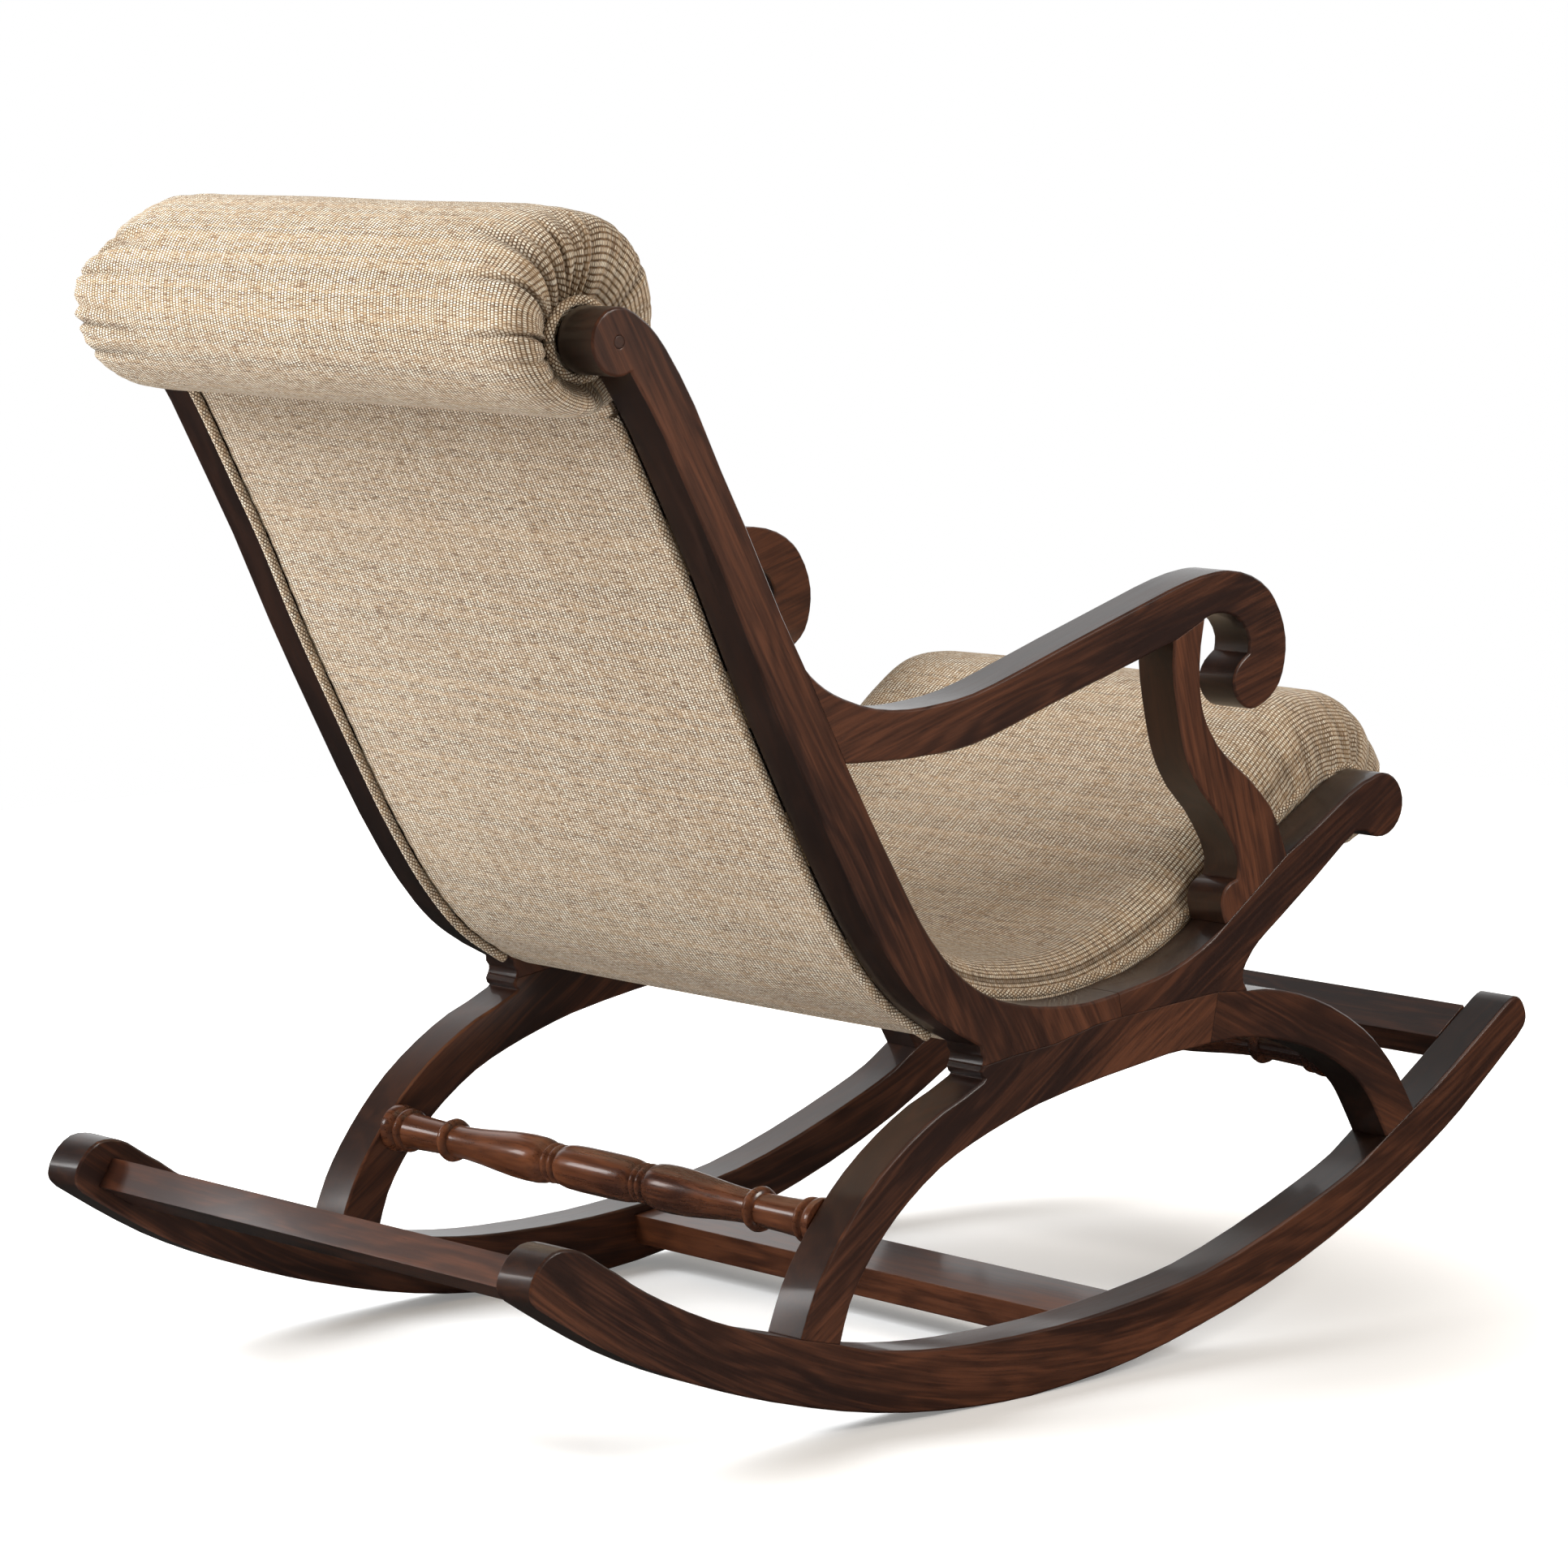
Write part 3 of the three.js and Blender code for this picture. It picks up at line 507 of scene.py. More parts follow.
GRAIN = Effect(
    "Stained Grain",
    {
        "Vector": ("Vector", None),
        "Angle": ("Float", 0.0),
        "Bow": ("Float", 0.0),
        "Seed": ("Float", 0.0),
        "Dark": ("Color", (0.022, 0.0085, 0.006)),
        "Mid": ("Color", (0.040, 0.0130, 0.0062)),
        "Warm": ("Color", (0.135, 0.043, 0.0165)),
        "Pore": ("Color", (0.011, 0.005, 0.004)),
        "Liveliness": ("Float", 1.0),
        "Base Roughness": ("Float", 0.3),
    },
    {"Color": "Color", "Height": "Float", "Roughness": "Float"},
    build_grain,
)
WEAR = Effect(
    "Edge Wear",
    {"Vector": ("Vector", None), "Radius": ("Float", 0.0015)},
    {"Edge": "Float", "Normal": "Vector"},
    build_wear,
)
WEAVE = Effect(
    "Two Tone Weave",
    {
        "Thread": ("Vector", None),
        "Warp Pitch": ("Float", 0.0028),
        "Weft Pitch": ("Float", 0.0018),
        "Wobble": ("Float", 0.0012),
        "Slub": ("Float", 0.7),
        "Light": ("Color", (1.0, 0.93, 0.78)),
        "Tan": ("Color", (0.50, 0.325, 0.175)),
        "Dark": ("Color", (0.090, 0.052, 0.028)),
        "Yarn": ("Color", (0.15, 0.078, 0.040)),
    },
    {"Color": "Color", "Height": "Float", "Floats": "Float"},
    build_weave,
)


# ---- finishes ----
@dataclass(frozen=True)
class Finish:
    """A surface finish that makes its own material."""

    name: str

    def material(self) -> bpy.types.Material:
        """The material, made once and found again by its name."""
        found = bpy.data.materials.get(self.name)
        if found is None:
            found = bpy.data.materials.new(self.name)
            found.use_nodes = True
            found.node_tree.nodes.clear()
            work = Tree(found.node_tree)
            shader = work.node("BsdfPrincipled")
            end = work.node("OutputMaterial")
            work.feed(end.inputs["Surface"], shader.outputs[0])
            self.shade(work, shader)
        return found

    def shade(self, work: Tree, shader: bpy.types.Node) -> None:
        """Sets the shader's sockets."""
        raise NotImplementedError

    def coat(self, obj: bpy.types.Object, slot: Slot) -> None:
        """Puts the finish on an object."""
        obj.data.materials.clear()
        obj.data.materials.append(self.material())


@dataclass(frozen=True)
class StainedWood(Finish):
    """Dark red-brown stain with visible grain under satin-gloss lacquer."""

    angle: float = 0.0  # grain direction in the side view, degrees from the rear
    bow: float = 0.0  # how much the grain follows a bent board, 1/m
    seed: float = 0.0
    liveliness: float = 1.0
    gloss: float = 0.30
    edge_radius: float = 0.0016
    across_chair: bool = False  # the grain runs along X
    edge_stain: float = 0.0  # how much darker the board's sawn edges are, as darker stain and painted shade

    def shade(self, work: Tree, shader: bpy.types.Node) -> None:
        """Grain, rubbed edges, darker stain and painted shade on the sawn edges, and lacquer."""
        place = work.node("TexCoord").outputs["Object"]
        if self.across_chair:
            x, y, z = work.split(place)
            place = work.combine(z, x, y)
        grain = GRAIN.place(
            work,
            Vector=place,
            Angle=-math.radians(self.angle),
            Bow=self.bow,
            Seed=self.seed,
            Liveliness=self.liveliness,
            Base_Roughness=self.gloss,
        )
        wear = WEAR.place(work, Vector=place, Radius=self.edge_radius)
        # Darker stain and painted shade: faces that don't face across the chair, the sawn edges, are darkened
        # towards the near-black edge colour.
        facing = work.math("ABSOLUTE", work.split(work.node("TexCoord").outputs["Normal"])[0])
        sawn = work.range(facing, 0.75, 0.30, 0.0, self.edge_stain)
        colour = work.blend(sawn, grain["Color"], EDGE_STAIN_AND_SHADE)
        rubbed = work.math("MULTIPLY", wear["Edge"], 0.30)
        colour = work.blend(rubbed, colour, RUBBED_STAIN)
        relief = {"Strength": 0.10, "Distance": 0.0005, "Height": grain["Height"], "Normal": wear["Normal"]}
        bump = work.node("Bump", relief)
        work.feed(shader.inputs["Base Color"], colour)
        work.feed(shader.inputs["Roughness"], grain["Roughness"])
        work.feed(shader.inputs["Normal"], bump.outputs[0])
        shader.inputs["Specular IOR Level"].default_value = 0.5
        shader.inputs["Coat Weight"].default_value = 0.5
        shader.inputs["Coat Roughness"].default_value = 0.10
        work.feed(shader.inputs["Coat Normal"], wear["Normal"])


@dataclass(frozen=True)
class BareWood(Finish):
    """Unfinished pale wood of dowels and hidden rails."""

    def shade(self, work: Tree, shader: bpy.types.Node) -> None:
        """Pale grain without lacquer."""
        place = work.node("TexCoord").outputs["Object"]
        x, y, z = work.split(place)
        grain = GRAIN.place(
            work,
            Vector=work.combine(z, x, y),
            Dark=(0.42, 0.25, 0.11),
            Mid=(0.50, 0.31, 0.15),
            Warm=(0.62, 0.42, 0.22),
            Pore=(0.25, 0.14, 0.06),
            Base_Roughness=0.6,
        )
        bump = work.node("Bump", {"Strength": 0.3, "Distance": 0.0005, "Height": grain["Height"]})
        work.feed(shader.inputs["Base Color"], grain["Color"])
        work.feed(shader.inputs["Roughness"], grain["Roughness"])
        work.feed(shader.inputs["Normal"], bump.outputs[0])


@dataclass(frozen=True)
class Tweed(Finish):
    """Oatmeal two-tone upholstery weave."""

    warp: float = 0.0039
    weft: float = 0.0020
    slub: float = 0.7

    def shade(self, work: Tree, shader: bpy.types.Node) -> None:
        """Weave colour and relief with a soft fibre sheen."""
        thread = work.node("Attribute", attribute_name=THREAD).outputs["Vector"]
        weave = WEAVE.place(work, Thread=thread, Warp_Pitch=self.warp, Weft_Pitch=self.weft, Slub=self.slub)
        fuzz = work.noise(thread, 2600.0, 2.0)
        relief = work.math("ADD", weave["Height"], work.math("MULTIPLY", fuzz, 0.25))
        bump = work.node("Bump", {"Strength": 0.9, "Distance": 0.0009, "Height": relief})
        rough = work.math("SUBTRACT", 0.97, work.math("MULTIPLY", weave["Floats"], 0.14))
        work.feed(shader.inputs["Base Color"], weave["Color"])
        work.feed(shader.inputs["Roughness"], rough)
        work.feed(shader.inputs["Normal"], bump.outputs[0])
        shader.inputs["Specular IOR Level"].default_value = 0.25
        shader.inputs["Sheen Weight"].default_value = 0.18
        shader.inputs["Sheen Roughness"].default_value = 0.45
        shader.inputs["Sheen Tint"].default_value = (1.0, 0.95, 0.86, 1.0)


@dataclass(frozen=True)
class Jute(Finish):
    """Woven webbing inside the seat, placed by its own object coordinates."""

    def shade(self, work: Tree, shader: bpy.types.Node) -> None:
        """A coarse brown weave."""
        place = work.node("TexCoord").outputs["Object"]
        dark, tan = (0.10, 0.06, 0.03), (0.24, 0.16, 0.08)
        # The place's height also feeds the weave's painted fold shade.
        weave = WEAVE.place(work, Thread=place, Light=(0.36, 0.26, 0.14), Tan=tan, Dark=dark)
        bump = work.node("Bump", {"Strength": 0.8, "Distance": 0.0006, "Height": weave["Height"]})
        work.feed(shader.inputs["Base Color"], weave["Color"])
        work.feed(shader.inputs["Normal"], bump.outputs[0])
        shader.inputs["Roughness"].default_value = 0.95


@dataclass(frozen=True)
class Steel(Finish):
    """Plain screw steel."""

    def shade(self, work: Tree, shader: bpy.types.Node) -> None:
        """Metal with faint turning marks."""
        place = work.node("TexCoord").outputs["Object"]
        marks = work.noise(place, 900.0, 3.0)
        work.feed(shader.inputs["Base Color"], (0.55, 0.55, 0.56))
        work.feed(shader.inputs["Roughness"], work.range(marks, 0.3, 0.7, 0.28, 0.5))
        shader.inputs["Metallic"].default_value = 1.0


FABRIC = Tweed("tweed_upholstery")
PIPING_CLOTH = Tweed("tweed_piping", warp=0.0034, weft=0.0034, slub=0.1)


# ---- sub-assemblies ----
@dataclass(frozen=True)
class Board:
    """How one board of a side frame is sawn."""

    angle: float
    bow: float = 0.0
    liveliness: float = 1.0


@dataclass
class SideFrames:
    """The two side frames: packed boards with softened edges and grain along each board."""

    boards: dict[str, Board] = field(
        default_factory=lambda: {
            "back_stile": Board(60.0),
            "arm": Board(163.0),
            "arm_support": Board(76.0, liveliness=1.1),
            "seat_rail": Board(150.0),
            "rear_leg": Board(146.0, liveliness=1.1),
            "front_leg": Board(26.0),
            "rocker": Board(2.0, bow=-0.62, liveliness=1.15),
        }
    )

    def dress(self, nodes: dict[str, bpy.types.Object]) -> None:
        """Finishes every board, plug, dowel and screw of both frames.

        Args:
            nodes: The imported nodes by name.
        """
        softener = edge_softener(SMOOTH_ANGLE)
        for number, (name, board) in enumerate(self.boards.items()):
            for hand in Hand:
                obj = nodes[f"{hand.word}_{name}"]
                finish = StainedWood(
                    f"stained_{hand.word}_{name}",
                    angle=board.angle,
                    bow=board.bow,
                    seed=number * 3.7 + hand.sign * 1.3,
                    liveliness=board.liveliness,
                    # Sawn edges get darker stain and painted shade.
                    edge_stain=0.75,
                )
                finish.coat(obj, Slot.WOOD)
                soften(obj, softener)
                log.info("%s: stained board", obj.name)
        plug = StainedWood("stained_plug", angle=20.0, seed=9.0, liveliness=0.25, gloss=0.42)
        for name, obj in nodes.items():
            if name.endswith("_plug"):
                plug.coat(obj, Slot.WOOD)
                soften(obj, softener)
            elif name.endswith("_dowel"):
                BareWood("bare_wood").coat(obj, Slot.BARE)
            elif name.endswith("_screw"):
                Steel("screw_steel").coat(obj, Slot.STEEL)


def edge_softener(angle: float) -> bpy.types.NodeTree:
    """A geometry node group that joins split vertices and shades edges flatter than an angle as smooth.

    Args:
        angle: The sharpest smooth edge, in degrees.

    Returns:
        The group.
    """
    group = bpy.data.node_groups.new("Soft Edges", "GeometryNodeTree")
    group.interface.new_socket("Geometry", in_out="INPUT", socket_type="NodeSocketGeometry")
    group.interface.new_socket("Geometry", in_out="OUTPUT", socket_type="NodeSocketGeometry")
    nodes, links = group.nodes, group.links
    entry, end = nodes.new("NodeGroupInput"), nodes.new("NodeGroupOutput")
    weld = nodes.new("GeometryNodeMergeByDistance")
    weld.inputs["Distance"].default_value = 1e-6
    faces = nodes.new("GeometryNodeSetShadeSmooth")
    faces.domain = "FACE"
    edges = nodes.new("GeometryNodeSetShadeSmooth")
    edges.domain = "EDGE"
    bend = nodes.new("GeometryNodeInputMeshEdgeAngle")
    flat = nodes.new("FunctionNodeCompare")
    flat.operation = "LESS_THAN"
    flat.inputs["B"].default_value = math.radians(angle)
    links.new(entry.outputs[0], weld.inputs["Geometry"])
    links.new(weld.outputs["Geometry"], faces.inputs["Geometry"])
    links.new(faces.outputs[0], edges.inputs["Geometry"])
    links.new(bend.outputs["Unsigned Angle"], flat.inputs["A"])
    links.new(flat.outputs[0], edges.inputs["Shade Smooth"])
    links.new(edges.outputs[0], end.inputs[0])
    return group


def soften(obj: bpy.types.Object, softener: bpy.types.NodeTree) -> None:
    """Adds the softener and face-weighted normals to a packed board; its mesh stays as packed."""
    made = obj.modifiers.new("soft edges", "NODES")
    made.node_group = softener
    weighted = obj.modifiers.new("weighted normals", "WEIGHTED_NORMAL")
    weighted.keep_sharp = True
    weighted.weight = 90


@dataclass
class CrossBoards:
    """The three flat boards between the rockers and the four rails inside the upholstery."""

    boards: tuple[str, ...] = ("rear_rocker_board", "middle_rocker_board", "front_rocker_board")
    bare: tuple[str, ...] = ("hub_cross_rail", "seat_cross_rail")
    stained: tuple[str, ...] = ("head_rail", "knee_rail")

    def dress(self, nodes: dict[str, bpy.types.Object]) -> None:
        """Grain along X on the boards and the rolls' rails, bare wood on the seat's rails.

        Args:
            nodes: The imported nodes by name.
        """
        softener = edge_softener(SMOOTH_ANGLE)
        for number, name in enumerate(self.boards):
            seed = 21.0 + 2.9 * number
            finish = StainedWood(f"stained_{name}", seed=seed, across_chair=True, edge_radius=0.0012)
            finish.coat(nodes[name], Slot.WOOD)
            soften(nodes[name], softener)
            log.info("%s: stained board", name)
        for name in self.bare:
            BareWood("bare_wood").coat(nodes[name], Slot.BARE)
        for name in self.stained:
            StainedWood("stained_rails", seed=31.0, across_chair=True).coat(nodes[name], Slot.WOOD)


@dataclass
class Stretcher:
    """A turned stretcher: barrel, beads, vases, ring beads and end flanges, the same on both sides."""

    name: str
    axis: Place
    seed: float
    segments: int = 72
    spigot: float = 9.0
    spigot_end: float = 288.6
    smooth_angle: float = 50.0
    # (distance from the middle, radius) of the turned outline, mm; a repeated distance is a square shoulder
    outline: tuple[Place, ...] = (
        (0.0, 18.9), (22.0, 18.8), (36.0, 18.3), (43.0, 17.3), (46.5, 15.4), (47.5, 14.3), (48.3, 14.2),
        (49.3, 15.6), (51.2, 16.5), (53.0, 16.3), (54.6, 14.9), (55.2, 14.4), (56.2, 14.6), (57.3, 16.0),
        (59.3, 16.9), (61.2, 16.4), (62.6, 14.8), (63.4, 14.2), (64.4, 14.4), (66.5, 16.4), (71.0, 18.4),
        (79.0, 19.4), (92.0, 19.6),
        (110.0, 18.9), (130.0, 17.2), (150.0, 15.3), (170.0, 13.9), (181.0, 13.5), (187.3, 13.6), (187.9, 15.2),
        (189.4, 17.4), (192.6, 18.5), (195.8, 17.4), (197.3, 15.2), (197.9, 13.7), (206.0, 13.8), (225.0, 14.3),
        (241.0, 15.0), (247.6, 15.4), (248.4, 17.0), (250.4, 18.6), (253.0, 18.7), (255.0, 17.2), (256.2, 15.9),
        (257.6, 15.8), (258.8, 17.6), (261.4, 19.7), (265.0, 20.2), (268.6, 20.0),
    )

    def build(self, view: SideView) -> bpy.types.Object:
        """Turns the outline round its axis.

        Args:
            view: The side view's place.

        Returns:
            The piece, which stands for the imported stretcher.
        """
        half = np.array(self.outline)
        ends = np.array([(half[-1, 0], self.spigot), (self.spigot_end, self.spigot)])
        half = np.vstack([half, ends])
        left = half[::-1] * (-1, 1)
        profile = np.vstack([left, half[1:]])
        turn = full_turn(self.segments)
        x = np.repeat(profile[:, :1], self.segments, axis=1)
        y = self.axis[0] + profile[:, 1:] * np.cos(turn)
        z = self.axis[1] + profile[:, 1:] * np.sin(turn)
        faces = tube_faces(len(profile), self.segments)
        obj = make_piece(f"turned_{self.name}", view.points(x, y, z), faces)
        face_outwards(obj)
        sharp = obj.modifiers.new("soft edges", "NODES")
        sharp.node_group = edge_softener(self.smooth_angle)
        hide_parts(self.name)
        finish = StainedWood(
            f"stained_{self.name}",
            seed=self.seed,
            across_chair=True,
            liveliness=1.15,
            gloss=0.16,
            edge_radius=0.0006,
        )
        finish.coat(obj, Slot.WOOD)
        return obj


@dataclass(frozen=True)
class Gathers:
    """Creases that run out from a drawn-in cloth end."""

    count: int
    depth: float
    seed: int
    reach: tuple[float, float] = (0.35, 0.95)
    width: float = 2.6
    calm: float = 0.0  # how much shallower the creases are round calm_at
    calm_at: float = 4.9  # rad

    def depths(
        self, around: np.ndarray, out: np.ndarray, length: np.ndarray
    ) -> tuple[np.ndarray, np.ndarray]:
        """How far each point sinks or stands proud.

        Args:
            around: Angle round the drawn-in end, radians, of each column or point.
            out: 0 at the drawn-in end, 1 where the cloth is full.
            length: Millimetres of cloth for each radian of angle at that point.

        Returns:
            Displacement in millimetres, and a mask of how deep in a crease each point lies, used as painted
            shade in the creases.
        """
        draw = np.random.default_rng(self.seed)
        moved = np.zeros(np.broadcast(around, out).shape)
        mask = np.zeros_like(moved)
        for k in range(self.count):
            angle = 2 * math.pi * (k + draw.uniform(-0.42, 0.42)) / self.count
            reach = draw.uniform(*self.reach)
            from_calm = math.remainder(angle - self.calm_at, 2 * math.pi)
            left = 1 - self.calm * math.exp(-((from_calm / 0.7) ** 2))
            depth = self.depth * draw.uniform(0.35, 1.0) * left
            lean = draw.uniform(-0.22, 0.22)
            width = self.width * draw.uniform(0.7, 1.5)
            turned = np.mod(around - angle - lean * out + math.pi, 2 * math.pi) - math.pi
            away = np.abs(turned) * length / (width * (0.55 + 1.5 * out))
            fade = np.clip(1 - out / reach, 0, 1) ** 0.8 * np.clip(out / 0.05, 0.25, 1)
            crease = np.exp(-(away**1.4))
            puff = np.exp(-((away - 2.4) ** 2) / 1.6)
            moved += fade * depth * (0.30 * puff - crease)
            # The mask is painted as shade in the creases.
            mask = np.maximum(mask, fade * crease * depth / self.depth)
        return moved, mask


@dataclass
class HeadBolster:
    """The stuffed roll round the head rail, drawn in at both ends on a piped ring."""

    around: int = 400
    end_rows: int = 66
    middle_rows: int = 34
    join: float = 3.75  # where the cloth is joined, low at the front, rad
    stile_at: float = 182.0  # the stile's middle as seen from the head scroll, degrees
    stile_reach: tuple[float, float] = (62.0, 34.0)  # half the stile's reach round the roll, and how it fades
    upper_at: float = 92.0  # the middle of the upper end, degrees
    held_share: float = 0.35  # how deep the creases are beside the stile
    gathers: Gathers = Gathers(count=27, depth=8.5, seed=11, reach=(0.45, 1.25), width=1.9, calm=0.85)
    # (distance from the middle, radius) from the ring out to the full roll, mm
    free_end: tuple[Place, ...] = (
        (259, RING_RADIUS), (260.5, 31), (266, 37), (274.5, 45), (281.5, 54), (283, 63), (278, 71),
        (264, 76.4), (240, 78.6), (196, 78.5),
    )  # fmt: skip
    upper_end: tuple[Place, ...] = (
        (259, RING_RADIUS), (260.5, 31), (264.5, 37), (268.5, 45), (269.5, 53), (266, 60), (257, 67),
        (242, 72.8), (222, 76.8), (196, 78.5),
    )  # fmt: skip
    held_end: tuple[Place, ...] = (
        (259, RING_RADIUS), (262, 31), (266, 38), (267.2, 48), (266.8, 59), (264.4, 68), (257, 74.3),
        (244, 77.4), (224, 78.4), (196, 78.5),
    )  # fmt: skip

    def build(self, view: SideView) -> bpy.types.Object:
        """Builds the roll as one closed skin.

        Args:
            view: The side view's place.

        Returns:
            The piece.
        """
        turn = self.join + full_turn(self.around)
        full = self.free_end[-1][0]
        near = self.end(turn, full, -1.0, self.gathers.seed)
        far = [part[::-1] for part in self.end(turn, full, 1.0, self.gathers.seed + 7)]
        middle = np.linspace(-full, full, self.middle_rows + 2)[1:-1, None]
        unevenness = 0.6 * np.sin(middle * 0.021 + 2 * np.cos(turn)) * np.cos(middle / full * math.pi / 2)
        soft = BOLSTER_RADIUS + unevenness
        belly = [
            np.repeat(middle, self.around, axis=1),
            BOLSTER_CENTRE[0] + soft * np.cos(turn),
            BOLSTER_CENTRE[1] + soft * np.sin(turn),
            np.repeat(middle, self.around, axis=1),
            np.zeros((self.middle_rows, self.around)),
        ]
        x, y, z, u, fold = (np.vstack(parts) for parts in zip(near, belly, far))
        v = np.broadcast_to(turn * BOLSTER_RADIUS * MM, u.shape)
        thread = np.stack([u * MM, v, fold], axis=-1)
        faces = tube_faces(len(x), self.around)
        obj = make_piece("head_bolster_cover", view.points(x, y, z), faces, thread)
        face_outwards(obj)
        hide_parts("head_bolster")
        FABRIC.coat(obj, Slot.FABRIC)
        return obj

    def end(self, turn: np.ndarray, full: float, side: float, seed: int) -> list[np.ndarray]:
        """One gathered end, from its ring out to the full roll.

        Args:
            turn: Angle of each column.
            full: Distance from the middle where the end begins.
            side: -1 on the sitter's right, 1 on the left.
            seed: What scatters the creases.

        Returns:
            x, y, z, flat cloth place and fold depth for the painted crease shade, each rows by columns.
        """
        free, upper, held = (
            smooth_line(outline, self.end_rows) for outline in (self.free_end, self.upper_end, self.held_end)
        )
        room = self.room(turn)
        above = eased(np.cos(turn - math.radians(self.upper_at)) * 1.25)
        parts = ((free, room * (1 - above)), (upper, room * above), (held, 1 - room))
        x = sum(line[:, :1] * share[None, :] for line, share in parts)
        radius = sum(line[:, 1:] * share[None, :] for line, share in parts)
        out = np.linspace(0, 1, self.end_rows)[:, None]
        slope_x, slope_r = np.gradient(x, axis=0), np.gradient(radius, axis=0)
        size = np.hypot(slope_x, slope_r)
        push, fold = replace(self.gathers, seed=seed).depths(turn[None, :], out, radius)
        push = push * (self.held_share + (1 - self.held_share) * room[None, :])
        x = x + push * slope_r / size
        radius = radius - push * slope_x / size
        grown = np.clip((radius - RING_RADIUS) / (BOLSTER_RADIUS - RING_RADIUS), 0, 1)
        y = HEAD_CENTRE[0] + (BOLSTER_CENTRE[0] - HEAD_CENTRE[0]) * grown + radius * np.cos(turn)
        z = HEAD_CENTRE[1] + (BOLSTER_CENTRE[1] - HEAD_CENTRE[1]) * grown + radius * np.sin(turn)
        spent = np.cumsum(size[::-1], axis=0)[::-1]
        return [side * x, y, z, side * (full + spent), fold]

    def room(self, turn: np.ndarray) -> np.ndarray:
        """1 where the end may stand out past the side frame, 0 where the stile runs down from the scroll."""
        away = np.abs(np.mod(turn - math.radians(self.stile_at) + math.pi, 2 * math.pi) - math.pi)
        start, spread = (math.radians(angle) for angle in self.stile_reach)
        return eased((away - start) / spread)


@dataclass(frozen=True)
class Station:
    """One place along the sitting surface."""

    edge: Place  # where the cloth meets the side frame
    crown: Place  # the same place in the middle of the chair
    width: float  # how far in from the frame the cloth rounds over
    gather: float = 0.0


